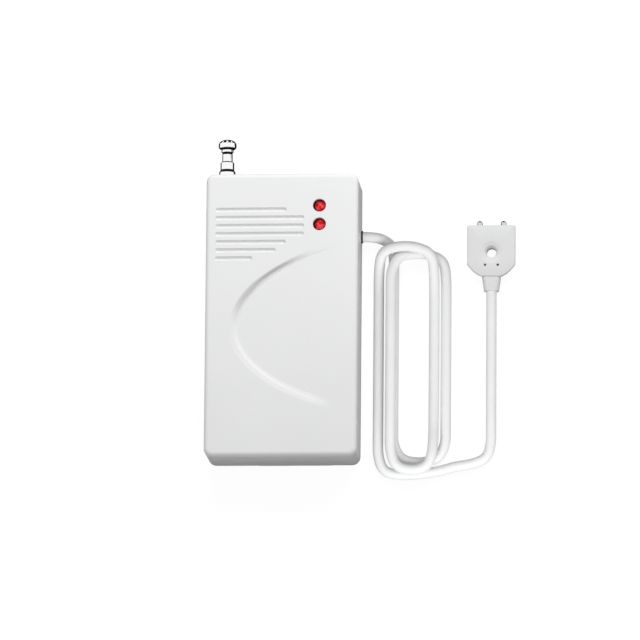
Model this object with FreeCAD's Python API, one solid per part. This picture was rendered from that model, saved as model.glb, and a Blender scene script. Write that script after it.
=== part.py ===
import FreeCAD, Part
import math
import os

# Wireless water level sensor: a wall-hung radio box with a telescopic antenna and a two-pin probe on a cable.
# The box lies on its back. The origin is the centre of its flat back face, +Z points out of its front,
# +Y towards the antenna and +X towards the side that the cable leaves from. All sizes are in millimetres.

V = FreeCAD.Vector
X, Y, Z = V(1, 0, 0), V(0, 1, 0), V(0, 0, 1)

# Housing
housing_length = 110.0
housing_width = 58.5
housing_depth = 23.0
wall = 2.0
front_wall = 2.2
corner_radius = 3.2
front_edge_radius = 1.8
back_edge_radius = 0.8
parting_height = 4.8
lip_height = 1.4
lip_thickness = 0.8
fit_gap = 0.1
running_gap = 0.15
loose_gap = 0.4

# Grille of blind grooves, placed from the cover's left side and upper end: lengths from the top groove down
groove_width = 1.7
groove_pitch = 3.16
groove_from_left = 3.65
groove_from_top = 14.2
groove_lengths = [27.4, 34.2, 34.2, 34.2, 27.2, 23.4, 14.4]

# Curved relief line: the end of a long ellipse, cut to a tilted plane that runs out at the right
relief_from_left = 10.95
relief_from_top = 58.7
relief_half_length = 84.1
relief_half_width = 36.7
relief_tilt = 1.25
relief_depth = 0.9
relief_draft = 1.5
relief_fade_from_right = 7.75

# Lamps
lamp_from_right = 14.85
lamps_from_top = [12.6, 19.9]
lamp_hole_radius = 2.55
lamp_radius = 2.4
lamp_recess = 1.0
lamp_length = 8.6
lamp_flange = 0.45
lamp_flange_thickness = 1.0
pin_pitch = 2.54
leg_thickness = 0.5

# Antenna
antenna_from_left = 7.05
antenna_z = 12.0
bush_radius = 3.15
bush_reach = 3.3
bush_flange_radius = 4.2
bush_flange_thickness = 1.4
outer_tube_radius = 2.65
middle_tube_radius = 2.0
inner_tube_radius = 1.4
tip_rod_radius = 0.85
tube_wall = 0.4
tube_lip = 0.9
tube_clearance = 0.08
outer_tube_length = 104.0
middle_tube_reach = 3.5
antenna_foot_inset = 10.7
tube_step = 1.2
foot_collar_length = 3.0
collar_radius = 2.35
collar_length = 1.5
knob_radius = 3.5
knob_length = 3.7
antenna_foot_width = 7.6
antenna_foot_length = 5.0
antenna_foot_height = 8.2
antenna_foot_corner = 0.6

# Screws
case_boss_radius = 3.4
case_boss_inset = 5.85
case_screw_radius = 1.25
case_screw_length = 11.0
case_head_radius = 2.6
case_head_thickness = 1.8
case_head_depth = 2.6
board_post_radius = 2.3
board_screw_radius = 1.0
board_screw_length = 7.0
board_head_radius = 2.1
board_head_thickness = 1.6

# Battery and its door: the block fills its bay, between the board's strip, a case screw, the board and the front
battery_head_room = 1.25
battery_edge_radius = 2.2
battery_post_inset = 6.75
battery_post_height = 2.3
battery_post_radii = [2.9, 3.9]
bay_rib = 1.2
bay_rib_foot = 8.2
bay_rib_gap = 1.1
snap_side_inset = 0.35
snap_depth = 12.5
snap_thickness = 3.6
snap_corner_radius = 2.0
snap_ring_height = 1.6
snap_ring_wall = 0.6
snap_to_board = 5.3
door_side_margin = 0.9
door_end_margin = 4.8
door_thickness = 1.8
tongue_width = 1.2
tongue_height = 0.9
rail_height = 1.4
rail_width = 1.5
door_tab_width = 8.0
door_tab_length = 2.4
grip_count = 5
grip_pitch = 2.2
grip_width = 1.1
grip_depth = 0.4
grip_length = 15.0
grip_start = 5.0

# Keyholes in the back
keyhole_x = 15.0
keyhole_from_top = 29.0
keyhole_radius = 3.6
keyhole_slot_width = 3.8
keyhole_slot_length = 6.0

# Circuit board
board_bottom = 6.0
board_thickness = 1.6
board_length = 39.35
strip_width = 14.35
notch_depth = 9.05
notch_below_cable = 9.9
notch_above_cable = 5.1
upper_post_from_antenna = 7.0
upper_post_from_right = 3.55
lower_post_from_right = 17.95

# What stands on the circuit board
sounder_radius = 8.5
sounder_height = 8.6
sounder_edge_radius = 0.8
sounder_hole_radius = 1.6
sounder_hole_depth = 1.5
sounder_from_top = 14.35
sounder_gap = 0.55
module_width = 14.0
module_length = 10.0
module_thickness = 1.0
module_under_antenna = 1.8
module_from_low = 0.6
can_width = 7.6
can_length = 8.4
can_height = 2.2
can_inset = 1.2
can_corner_radius = 0.5
chip_width = 6.4
chip_length = 19.2
chip_thickness = 3.3
chip_stand_off = 0.6
chip_from_right = 14.15
chip_from_top = 9.35
chip_notch_radius = 1.0
chip_leg_count = 8
chip_leg_height = 2.2
large_capacitor_radius = 3.15
large_capacitor_height = 10.5
large_capacitor_from_low = 8.2
small_capacitor_radius = 2.2
small_capacitor_height = 9.0
small_capacitor_from_low = 3.0
small_capacitor_from_right = 13.35
jumper_count = 5
jumper_width = 5.0
jumper_block_height = 2.5
jumper_pin_thickness = 0.64
jumper_pin_height = 6.0
jumper_from_strip_edge = 1.3
jumper_below_field = 5.1
coil_radius = 2.1
coil_bore_radius = 1.3
coil_length = 8.0
coil_from_strip_edge = 1.7
coil_below_jumpers = 4.1
terminal_length = 8.0
terminal_height = 10.0
terminal_below_notch = 3.0
terminal_screw_radius = 1.9
terminal_screw_depth = 1.6
terminal_entry_height = 2.6
terminal_entry_depth = 0.8
socket_width = 6.0
socket_length = 4.0
socket_height = 6.0
socket_from_low = 0.8
socket_from_right = 23.35
socket_entry_height = 3.2
socket_pole_offset = 1.4

# Cable
cable_radius = 2.0
cable_from_top = 21.6
cable_hole_gap = 0.45
jacket_inside = 7.0
pinch_rib_thickness = 1.6
pinch_rib_width = 8.0
conductor_radius = 0.7
pole_pitch = 5.08

# Probe
probe_x = 79.4
probe_low = 17.6
probe_length = 20.2
probe_width = 18.6
probe_thickness = 5.0
probe_shoulder = 4.4
probe_foot_width = 7.6
probe_edge_radius = 0.6
probe_top_radius = 1.0
relief_sleeve_length = 5.4
relief_sleeve_top = 7.3
relief_sleeve_bottom = 5.8
relief_sleeve_thickness = 4.8
pin_radius = 1.1
pin_spacing = 9.2
pin_reach = 2.0
pin_inside = 5.0
probe_hole_radius = 1.95
probe_hole_from_low = 9.6
probe_dish_radius = 3.95
probe_dish_depth = 0.25
countersink_radius = 2.65
countersink_depth = 0.7
pinhole_radius = 0.45
pinhole_offset = 2.4
pinhole_from_low = 5.3
pinhole_depth = 1.2

# Places that follow from the sizes above
half_width = housing_width / 2
half_length = housing_length / 2
inner_half_width = half_width - wall
inner_half_length = half_length - wall
inner_front = housing_depth - front_wall
antenna_x = -half_width + antenna_from_left
lamp_x = half_width - lamp_from_right
lamp_heights = [half_length - distance for distance in lamps_from_top]
keyhole_y = half_length - keyhole_from_top
cable_y = half_length - cable_from_top
groove_left = -half_width + groove_from_left
groove_top = half_length - groove_from_top
relief_left = -half_width + relief_from_left
relief_centre = (relief_left + relief_half_length, half_length - relief_from_top)
relief_fade = half_width - relief_fade_from_right
board_top = board_bottom + board_thickness
board_edge = inner_half_width - fit_gap - lip_thickness - loose_gap
boss_x = half_width - case_boss_inset
boss_y = half_length - case_boss_inset
board_high = boss_y - case_boss_radius - loose_gap
board_low = board_high - board_length
strip_low = -board_high
strip_right = -board_edge + strip_width
notch_left = board_edge - notch_depth
notch_low = cable_y - notch_below_cable
notch_high = cable_y + notch_above_cable
case_screw_places = [
    (antenna_x + bush_flange_radius + loose_gap + case_boss_radius, boss_y),
    (boss_x, boss_y),
    (-boss_x, -boss_y),
    (boss_x, -boss_y),
]
board_screw_places = [
    (antenna_x + upper_post_from_antenna, board_high - 1.2 * board_post_radius),
    (board_edge - upper_post_from_right, board_high - 1.2 * board_post_radius),
    (board_edge - lower_post_from_right, board_low + 1.5 * board_post_radius),
    (strip_right - 1.5 * board_post_radius, strip_low + 3 * board_post_radius),
]
door_low = running_gap
door_top = door_low + door_thickness
bay_low = -inner_half_length + lip_thickness + fit_gap
battery_low = bay_low + loose_gap
battery_bottom = door_top + loose_gap
battery_left = strip_right + bay_rib_gap + bay_rib + loose_gap
battery_right = boss_x - case_boss_radius - bay_rib_gap - bay_rib - loose_gap
battery_width = battery_right - battery_left
battery_x = (battery_left + battery_right) / 2
battery_thickness = inner_front - battery_head_room - battery_bottom
snap_low = board_low - snap_to_board - snap_thickness
battery_end = snap_low - fit_gap - battery_post_height
snap_z = battery_bottom + battery_thickness / 2
door_width = battery_width + 2 * door_side_margin
door_length = battery_end + door_end_margin + half_length
antenna_exit = half_length + bush_reach
outer_tube_start = -inner_half_length + antenna_foot_inset
outer_tube_end = outer_tube_start + outer_tube_length
middle_tube_end = max(outer_tube_end, antenna_exit) + middle_tube_reach
outer_bore = outer_tube_radius - tube_wall
middle_bore = middle_tube_radius - tube_wall
inner_bore = inner_tube_radius - tube_wall
cable_exit = V(half_width, cable_y, parting_height)
jacket_end = half_width - jacket_inside
module_left = antenna_x - module_under_antenna
module_low = board_low + module_from_low
chip_right = board_edge - chip_from_right
chip_left = chip_right - chip_width
chip_high = board_high - chip_from_top
chip_low = chip_high - chip_length
jumper_high = board_low - jumper_below_field
jumper_low = jumper_high - jumper_count * pin_pitch
jumper_right = strip_right - jumper_from_strip_edge
terminal_high = notch_low - terminal_below_notch
terminal_middle = board_edge - loose_gap - pole_pitch
terminal_entry = board_top + terminal_entry_height
socket_x = board_edge - socket_from_right
socket_low = board_low + socket_from_low
probe_top = probe_low + probe_length
probe_hole_y = probe_low + probe_hole_from_low
pinhole_y = probe_low + pinhole_from_low
probe_middle = probe_thickness / 2

# Cable route: out of the wall, three loops laid down one after the other, and the tail to the probe
lead_points = [
    cable_exit,
    V(33.0, cable_y, parting_height),
    V(37.6, 32.7, 2.9),
    V(41.0, 30.2, 2.0),
    V(41.8, 25.0, 2.0),
]
hank_points = [
    V(41.8, -46.6, 2.0),
    V(45.6, -52.6, 2.0),
    V(52.0, -54.3, 2.0),
    V(58.6, -52.4, 2.0),
    V(62.0, -46.2, 2.0),
    V(62.0, 16.4, 2.0),
    V(61.0, 24.0, 2.0),
    V(55.4, 27.2, 2.2),
    V(48.6, 26.8, 3.8),
    V(43.4, 25.2, 6.5),
    V(40.9, 19.0, 6.6),
    V(40.9, -48.2, 6.6),
    V(43.4, -55.0, 6.5),
    V(49.2, -57.3, 6.3),
    V(54.8, -55.6, 6.5),
    V(57.4, -49.4, 6.5),
    V(57.4, -34.0, 2.2),
    V(57.4, 7.0, 2.0),
    V(57.4, 18.6, 4.9),
    V(56.4, 25.8, 7.6),
    V(50.8, 29.0, 8.8),
    V(43.4, 29.4, 9.2),
    V(37.8, 27.0, 6.7),
    V(36.0, 20.2, 3.3),
    V(36.0, 9.0, 2.0),
    V(36.0, -50.0, 2.0),
    V(38.6, -56.5, 2.0),
    V(45.0, -59.5, 2.0),
]
tail_points = [
    V(59.0, -57.8, 2.0),
    V(65.4, -55.7, 2.0),
    V(72.0, -54.7, 2.0),
    V(77.2, -51.8, 2.0),
    V(79.4, -46.6, 2.0),
    V(79.4, -6.0, 2.0),
    V(probe_x, 3.0, probe_middle),
    V(probe_x, probe_low - relief_sleeve_length, probe_middle),
]
cable_route = lead_points + hank_points + tail_points
hank_first_run = len(lead_points) - 1
hank_last_run = hank_first_run + len(hank_points)


def box(low, high):
    """A box between two corners."""
    size = V(*high) - V(*low)
    return Part.makeBox(size.x, size.y, size.z, V(*low))


def rod(start, direction, radius, length):
    """A round bar."""
    return Part.makeCylinder(radius, length, V(*start), direction)


def edges_along(shape, direction):
    """Straight edges that run along a direction."""
    found = []
    for edge in shape.Edges:
        if edge.Curve.TypeId == "Part::GeomLine" and abs(edge.Curve.Direction.dot(direction)) > 0.999:
            found.append(edge)
    return found


def edges_at_height(shape, height):
    """Edges that lie level at one height."""
    return [e for e in shape.Edges if abs(e.BoundBox.ZMin - height) < 1e-4 and e.BoundBox.ZLength < 1e-4]


def rounded_box(low, high, radius, direction=Z):
    """A box whose edges along one direction are rounded."""
    plain = box(low, high)
    return plain.makeFillet(radius, edges_along(plain, direction))


def housing_block(low, high, inset=0.0):
    """The housing's plan between two heights, drawn in from the outside by an inset."""
    across, along = half_width - inset, half_length - inset
    radius = max(corner_radius - inset, 0.4)
    return rounded_box((-across, -along, low), (across, along, high), radius)


def fused(shapes):
    """Several solids as one."""
    return shapes[0].multiFuse(shapes[1:]).removeSplitter()


def turned(profile, centre, direction):
    """A turned piece: profile points are (distance along the axis, radius), closed along the axis."""
    points = [V(radius, 0, along) for along, radius in profile]
    points = [V(0, 0, profile[0][0])] + points + [V(0, 0, profile[-1][0])]
    clean = [p for i, p in enumerate(points) if i == 0 or p.distanceToPoint(points[i - 1]) > 1e-6]
    face = Part.Face(Part.makePolygon(clean + [clean[0]]))
    solid = face.revolve(V(0, 0, 0), Z, 360)
    solid.Placement = FreeCAD.Placement(V(*centre), FreeCAD.Rotation(Z, direction))
    return solid


def cord_edges(points):
    """Straight runs joined by tangent arcs, each as large as its two runs allow: runs, arcs and radii."""
    runs, arcs, radii = [], [], []
    start = points[0]
    for before, corner, after in zip(points, points[1:], points[2:]):
        back, ahead = before - corner, after - corner
        trim = 0.45 * min(back.Length, ahead.Length)
        back.normalize()
        ahead.normalize()
        half_turn = (math.pi - back.getAngle(ahead)) / 2
        radius = trim / math.tan(half_turn)
        bisector = back + ahead
        bisector.normalize()
        middle = corner + bisector * (radius / math.cos(half_turn) - radius)
        into, out = corner + back * trim, corner + ahead * trim
        runs.append((start, into))
        arcs.append((into, middle, out))
        radii.append(radius)
        start = out
    runs.append((start, points[-1]))
    return runs, arcs, radii


def cord_path(points, first=0, last=None):
    """The wire from the middle of one run to the middle of another, or to the ends of the route."""
    runs, arcs, _ = cord_edges(points)
    last = len(runs) - 1 if last is None else last
    edges = []
    for i in range(first, last + 1):
        start, end = runs[i]
        if i == first and first > 0:
            start = (start + end) * 0.5
        if i == last and last < len(runs) - 1:
            end = (runs[i][0] + runs[i][1]) * 0.5
        edges.append(Part.LineSegment(start, end).toShape())
        if i < last:
            edges.append(Part.Arc(*arcs[i]).toShape())
    return Part.Wire(edges)


def tube(points, radius, first=0, last=None):
    """A round cord along a route, or along the part of it between the middles of two runs."""
    path = cord_path(points, first, last)
    start = path.Edges[0].valueAt(path.Edges[0].FirstParameter)
    direction = path.Edges[0].tangentAt(path.Edges[0].FirstParameter)
    profile = Part.Wire(Part.Circle(start, direction, radius).toShape())
    return path.makePipeShell([profile], True, False)


def ellipse_wire(shrink, height):
    """The relief line's ellipse, drawn in by an amount, at one height."""
    centre = V(relief_centre[0], relief_centre[1], height)
    long_half, short_half = relief_half_length - shrink, relief_half_width - shrink
    curve = Part.Ellipse(centre, long_half, short_half)
    edge = curve.toShape()
    edge.rotate(centre, Z, relief_tilt)
    return Part.Wire(edge)


def relief_cutter():
    """What the relief takes off the front: a drafted ellipse above a plane that fades out to the right."""
    low, high = housing_depth - 2 * relief_depth, housing_depth + relief_depth
    slope = relief_draft / relief_depth
    ellipse = Part.makeLoft(
        [ellipse_wire(slope * (housing_depth - low), low), ellipse_wire(-slope * (high - housing_depth), high)],
        True,
        True,
    )
    corners = [
        V(relief_left, -half_length, housing_depth - relief_depth),
        V(relief_fade, -half_length, housing_depth),
        V(relief_fade, -half_length, high),
        V(relief_left, -half_length, high),
    ]
    wedge = Part.Face(Part.makePolygon(corners + corners[:1])).extrude(V(0, housing_length, 0))
    return ellipse.common(wedge)


def grille_grooves():
    """Blind grooves, each half round with round ends."""
    radius = groove_width / 2
    grooves = []
    for row, length in enumerate(groove_lengths):
        y = groove_top - row * groove_pitch
        left_end, right_end = groove_left + radius, groove_left + length - radius
        grooves.append(
            rod((left_end, y, housing_depth), X, radius, right_end - left_end)
            .fuse(Part.makeSphere(radius, V(left_end, y, housing_depth)))
            .fuse(Part.makeSphere(radius, V(right_end, y, housing_depth)))
        )
    return grooves


def cable_hole(radius):
    """The round way for the cable through the side wall."""
    return rod((jacket_end, cable_y, parting_height), X, radius, jacket_inside + 1)


def pinch_rib(low, high):
    """One half of the rib that grips the cable just inside the wall."""
    x = inner_half_width - lip_thickness - 2 * pinch_rib_thickness
    half = pinch_rib_width / 2
    rib = box((x, cable_y - half, low), (x + pinch_rib_thickness, cable_y + half, high))
    return rib.cut(cable_hole(cable_radius + fit_gap / 2))


def front_cover():
    """Deep moulded shell with grille, lamp holes, relief, screw bosses, board posts and battery ribs."""
    outside = housing_block(parting_height, housing_depth)
    edge_radius = min(front_edge_radius, 0.9 * corner_radius)
    outside = outside.makeFillet(edge_radius, edges_at_height(outside, housing_depth))
    shell = outside.cut(housing_block(parting_height - 1, inner_front, wall))
    inside = [rod((x, y, parting_height), Z, case_boss_radius, inner_front - parting_height)
              for x, y in case_screw_places]
    inside += [rod((x, y, board_top), Z, board_post_radius, inner_front - board_top)
               for x, y in board_screw_places]
    rib_in = battery_width / 2 + loose_gap
    for side in (-1, 1):
        near, far = sorted((battery_x + side * rib_in, battery_x + side * (rib_in + bay_rib)))
        inside.append(box((near, -inner_half_length, bay_rib_foot), (far, snap_low, inner_front)))
    inside.append(pinch_rib(parting_height, inner_front))
    shell = fused([shell] + inside)
    cuts = [rod((lamp_x, y, inner_front - 1), Z, lamp_hole_radius, front_wall + 2) for y in lamp_heights]
    cuts += [rod((x, y, parting_height - 1), Z, case_screw_radius + fit_gap / 2, case_screw_length)
             for x, y in case_screw_places]
    cuts += [rod((x, y, board_top - 1), Z, board_screw_radius + fit_gap / 2, board_screw_length)
             for x, y in board_screw_places]
    cuts += grille_grooves()
    cuts.append(relief_cutter())
    cuts.append(rod((antenna_x, inner_half_length - 1, antenna_z), Y, bush_radius + fit_gap, wall + 2))
    cuts.append(rod((inner_half_width - 1, cable_y, parting_height), X, cable_radius + cable_hole_gap, wall + 2))
    return shell.cut(cuts)


def door_channel():
    """The way that the battery door slides in, with the battery's opening above it."""
    clear = door_width / 2 + running_gap
    wide = clear + tongue_width
    tongue_low = door_top - tongue_height - running_gap
    tongue_high = door_top + running_gap
    closed_end = -half_length + door_length + running_gap
    start = -half_length - 1
    slot = box((battery_x - clear, start, -1), (battery_x + clear, closed_end, tongue_high))
    tongues = box((battery_x - wide, start, tongue_low), (battery_x + wide, closed_end, tongue_high))
    opening = box(
        (battery_x - clear, bay_low, 0),
        (battery_x + clear, closed_end, wall + rail_height + 1),
    )
    tab_half = door_tab_width / 2 + running_gap
    tab = box(
        (battery_x - tab_half, closed_end - 1, tongue_low),
        (battery_x + tab_half, closed_end + door_tab_length + running_gap, wall + rail_height + 1),
    )
    return [slot, tongues, opening, tab]


def keyhole(x):
    """A round entry with a narrower slot above it."""
    reach = wall + 2
    slot_half = keyhole_slot_width / 2
    slot = box((x - slot_half, keyhole_y, -1), (x + slot_half, keyhole_y + keyhole_slot_length, reach))
    return [
        rod((x, keyhole_y, -1), Z, keyhole_radius, reach + 1),
        rod((x, keyhole_y + keyhole_slot_length, -1), Z, slot_half, reach + 1),
        slot,
    ]


def rear_cover():
    """Shallow tray with a lip inside the front cover, screw pads, door rails and keyholes."""
    outside = housing_block(0, parting_height)
    outside = outside.makeFillet(back_edge_radius, edges_at_height(outside, 0))
    tray = outside.cut(housing_block(wall, parting_height + 1, wall))
    lip_out = wall + fit_gap
    lip = housing_block(parting_height - 1, parting_height + lip_height, lip_out)
    base = housing_block(wall - 0.5, parting_height, wall - 0.2)
    ring = fused([lip, base]).cut(housing_block(wall - 1, parting_height + lip_height + 1, lip_out + lip_thickness))
    rail_reach = door_width / 2 + running_gap + tongue_width + rail_width
    rails = box(
        (battery_x - rail_reach, -inner_half_length, wall - 0.5),
        (battery_x + rail_reach, -half_length + door_length + rail_width, wall + rail_height),
    )
    pads = [rod((x, y, wall - 0.5), Z, case_boss_radius, parting_height - wall + 0.5) for x, y in case_screw_places]
    tray = fused([tray, ring, rails, pinch_rib(wall - 0.5, parting_height)] + pads)
    cuts = door_channel() + keyhole(-keyhole_x) + keyhole(keyhole_x)
    for x, y in case_screw_places:
        cuts.append(rod((x, y, parting_height), Z, case_boss_radius + 2 * fit_gap, lip_height + 1))
        cuts.append(rod((x, y, -1), Z, case_screw_radius + 2 * fit_gap, parting_height + 2))
        cuts.append(rod((x, y, -1), Z, case_head_radius + 2 * fit_gap, case_head_depth + 1))
    cuts.append(rod((inner_half_width - 2, cable_y, parting_height), X, cable_radius + cable_hole_gap, wall + 3))
    return tray.cut(cuts)


def battery_door():
    """Flat door with a tongue down each long side, a tab at its closed end and thumb grooves."""
    half, wide = door_width / 2, door_width / 2 + tongue_width
    closed_end = -half_length + door_length
    plate = box((battery_x - half, -half_length, door_low), (battery_x + half, closed_end, door_top))
    tongues = box(
        (battery_x - wide, -half_length, door_top - tongue_height), (battery_x + wide, closed_end, door_top)
    )
    tab = box(
        (battery_x - door_tab_width / 2, closed_end - 1, door_top - tongue_height),
        (battery_x + door_tab_width / 2, closed_end + door_tab_length, door_top),
    )
    grips = []
    for row in range(grip_count):
        y = -half_length + grip_start + row * grip_pitch
        grips.append(
            box(
                (battery_x - grip_length / 2, y, door_low - 1),
                (battery_x + grip_length / 2, y + grip_width, door_low + grip_depth),
            )
        )
    return fused([plate, tongues, tab]).cut(grips)


def screw(x, y, underside, shank_radius, shank_length, head_radius, head_thickness):
    """A pan-head screw driven upwards, its head's upper face at the underside that it holds."""
    profile = [
        (-head_thickness, 0.7 * head_radius),
        (-0.75 * head_thickness, 0.93 * head_radius),
        (-0.4 * head_thickness, head_radius),
        (0, head_radius),
        (0, shank_radius),
        (shank_length - shank_radius, shank_radius),
        (shank_length, 0.2 * shank_radius),
    ]
    return turned(profile, (x, y, underside), Z)


def case_screws():
    """Four screws through the rear cover into the front cover's bosses."""
    return Part.makeCompound([
        screw(x, y, case_head_depth, case_screw_radius, case_screw_length - case_head_thickness,
              case_head_radius, case_head_thickness)
        for x, y in case_screw_places
    ])


def board_screws():
    """Four screws through the board into the front cover's posts."""
    return Part.makeCompound([
        screw(x, y, board_bottom, board_screw_radius, board_screw_length, board_head_radius, board_head_thickness)
        for x, y in board_screw_places
    ])


def circuit_board():
    """L-shaped board: the main field under the grille and a strip beside the battery."""
    main = box((-board_edge, board_low, board_bottom), (board_edge, board_high, board_top))
    strip = box((-board_edge, strip_low, board_bottom), (strip_right, board_low + 1, board_top))
    notch = box((notch_left, notch_low, board_bottom - 1), (board_edge + 1, notch_high, board_top + 1))
    holes = [
        rod((x, y, board_bottom - 1), Z, board_screw_radius + 2 * fit_gap, board_thickness + 2)
        for x, y in board_screw_places
    ]
    return main.fuse(strip).removeSplitter().cut([notch] + holes)


def lamp(y):
    """A round-topped lamp that stands in its hole, a little below the front face."""
    top = housing_depth - lamp_recess
    foot = top - lamp_length
    body = rod((lamp_x, y, foot), Z, lamp_radius, lamp_length - lamp_radius)
    dome = Part.makeSphere(lamp_radius, V(lamp_x, y, top - lamp_radius))
    flange = rod((lamp_x, y, foot), Z, lamp_radius + lamp_flange, lamp_flange_thickness)
    return fused([body, dome, flange])


def lamp_leads():
    """Two square legs under each lamp, down to the board."""
    foot = housing_depth - lamp_recess - lamp_length
    half = leg_thickness / 2
    legs = []
    for y in lamp_heights:
        for side in (-1, 1):
            x = lamp_x + side * pin_pitch / 2
            legs.append(box((x - half, y - half, board_top), (x + half, y + half, foot)))
    return Part.makeCompound(legs)


def sounder():
    """Round sounder on the board, with its sound hole towards the grille."""
    x = antenna_x + outer_tube_radius + sounder_gap + sounder_radius
    y = board_high - sounder_from_top
    top = board_top + sounder_height
    can = rod((x, y, board_top), Z, sounder_radius, sounder_height)
    can = can.makeFillet(sounder_edge_radius, edges_at_height(can, top))
    return can.cut(rod((x, y, top - sounder_hole_depth), Z, sounder_hole_radius, sounder_hole_depth + 1))


def radio_module():
    """Small radio board that lies on the main board and reaches under the antenna."""
    high = (module_left + module_width, module_low + module_length, board_top + module_thickness)
    return box((module_left, module_low, board_top), high)


def radio_can():
    """Screening can over the radio circuit."""
    floor = board_top + module_thickness
    right, high = module_left + module_width - can_inset, module_low + module_length - can_inset
    low = (right - can_width, high - can_length, floor)
    return rounded_box(low, (right, high, floor + can_height), can_corner_radius)


def controller_chip():
    """Main chip in a dual-in-line body with its end notch."""
    floor = board_top + chip_stand_off
    top = floor + chip_thickness
    body = box((chip_left, chip_low, floor), (chip_right, chip_high, top))
    notch = rod(((chip_left + chip_right) / 2, chip_high, top - chip_notch_radius), Z, chip_notch_radius, 2)
    return body.cut(notch)


def chip_legs():
    """A row of legs down each side of the chip."""
    half = leg_thickness / 2
    first = (chip_low + chip_high - (chip_leg_count - 1) * pin_pitch) / 2
    legs = []
    for x, side in ((chip_left, -1), (chip_right, 1)):
        for place in range(chip_leg_count):
            y = first + place * pin_pitch
            near, far = sorted((x, x + side * leg_thickness))
            legs.append(box((near, y - half, board_top), (far, y + half, board_top + chip_leg_height)))
    return Part.makeCompound(legs)


def capacitor(x, y, radius, height):
    """Upright can with a rolled groove near its foot."""
    profile = [
        (0, radius - 0.25),
        (0.3, radius),
        (1.6, radius),
        (2.0, radius - 0.35),
        (2.4, radius),
        (height - 0.3, radius),
        (height, radius - 0.3),
    ]
    return turned(profile, (x, y, board_top), Z)


def large_capacitor():
    """Capacitor beside the radio module."""
    x = module_left + module_width + loose_gap + large_capacitor_radius
    return capacitor(x, board_low + large_capacitor_from_low, large_capacitor_radius, large_capacitor_height)


def small_capacitor():
    """Capacitor near the probe's terminal."""
    x, y = board_edge - small_capacitor_from_right, board_low + small_capacitor_from_low
    return capacitor(x, y, small_capacitor_radius, small_capacitor_height)


def jumper_block():
    """Base of the address jumpers."""
    low = (jumper_right - jumper_width, jumper_low, board_top)
    return box(low, (jumper_right, jumper_high, board_top + jumper_block_height))


def jumper_pins():
    """Two rows of square pins in the jumper block."""
    half = jumper_pin_thickness / 2
    low = board_top + jumper_block_height
    pins = []
    for side in (-1, 1):
        x = jumper_right - jumper_width / 2 + side * pin_pitch / 2
        for place in range(jumper_count):
            y = jumper_low + (place + 0.5) * pin_pitch
            pins.append(box((x - half, y - half, low), (x + half, y + half, low + jumper_pin_height)))
    return Part.makeCompound(pins)


def aerial_coil():
    """Wound aerial coil that lies on the strip."""
    x, z = strip_right - coil_from_strip_edge - coil_radius, board_top + coil_radius
    low = jumper_low - coil_below_jumpers - coil_length
    outside = rod((x, low, z), Y, coil_radius, coil_length)
    return outside.cut(rod((x, low - 1, z), Y, coil_bore_radius, coil_length + 2))


def probe_terminal():
    """Two-pole screw terminal, its wire entries towards the cable."""
    low = terminal_high - terminal_length
    top = board_top + terminal_height
    block = box(
        (terminal_middle - pole_pitch, low, board_top),
        (terminal_middle + pole_pitch, terminal_high, top),
    )
    entry_start = terminal_high - terminal_entry_depth
    cuts = []
    for side in (-1, 1):
        x = terminal_middle + side * pole_pitch / 2
        cuts.append(rod((x, (low + terminal_high) / 2, top - terminal_screw_depth), Z, terminal_screw_radius, 3))
        cuts.append(rod((x, entry_start, terminal_entry), Y, conductor_radius + 0.6, 2))
    return block.cut(cuts)


def battery_socket():
    """Two-pin socket for the battery lead."""
    half = socket_width / 2
    low = (socket_x - half, socket_low, board_top)
    return rounded_box(low, (socket_x + half, socket_low + socket_length, board_top + socket_height), 0.4)


def battery():
    """9 V block."""
    low = (battery_x - battery_width / 2, battery_low, battery_bottom)
    high = (battery_x + battery_width / 2, battery_end, battery_bottom + battery_thickness)
    return rounded_box(low, high, battery_edge_radius, Y)


def post_place(index):
    """Middle of one battery post."""
    side = (-1, 1)[index]
    return battery_x + side * (battery_width / 2 - battery_post_inset)


def battery_posts():
    """The battery's two snap posts."""
    return Part.makeCompound([
        rod((post_place(i), battery_end, snap_z), Y, radius, battery_post_height)
        for i, radius in enumerate(battery_post_radii)
    ])


def battery_snap():
    """Snap connector: a soft plate with a ring round each post."""
    half = battery_width / 2 - snap_side_inset
    plate = rounded_box(
        (battery_x - half, snap_low, snap_z - snap_depth / 2),
        (battery_x + half, snap_low + snap_thickness, snap_z + snap_depth / 2),
        snap_corner_radius,
        Y,
    )
    rings, bores = [], []
    for i, radius in enumerate(battery_post_radii):
        start = (post_place(i), snap_low - snap_ring_height, snap_z)
        rings.append(rod(start, Y, radius + running_gap + snap_ring_wall, snap_ring_height + 0.5))
        bores.append(rod(start, Y, radius + running_gap, snap_ring_height))
    return fused([plate] + rings).cut(bores)


def battery_wire(side):
    """One wire from the snap connector to its socket on the board."""
    start = V(battery_x + 2.0 * side, snap_low + snap_thickness, snap_z)
    end = V(socket_x + socket_pole_offset * side, socket_low, board_top + socket_entry_height)
    run = (end.y - start.y) / 4
    points = [start, start + Y * run, end - Y * run, end]
    return tube(points, conductor_radius)


def antenna_bush():
    """Chrome ferrule through the end wall, held by its flange inside."""
    length = wall + bush_reach + bush_flange_thickness
    start = inner_half_length - fit_gap / 2 - bush_flange_thickness
    profile = [
        (0, bush_flange_radius),
        (bush_flange_thickness, bush_flange_radius),
        (bush_flange_thickness, bush_radius),
        (length - 0.5, bush_radius),
        (length, bush_radius - 0.35),
    ]
    solid = turned(profile, (antenna_x, start, antenna_z), Y)
    return solid.cut(rod((antenna_x, start - 1, antenna_z), Y, outer_tube_radius + fit_gap / 2, length + 2))


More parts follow.
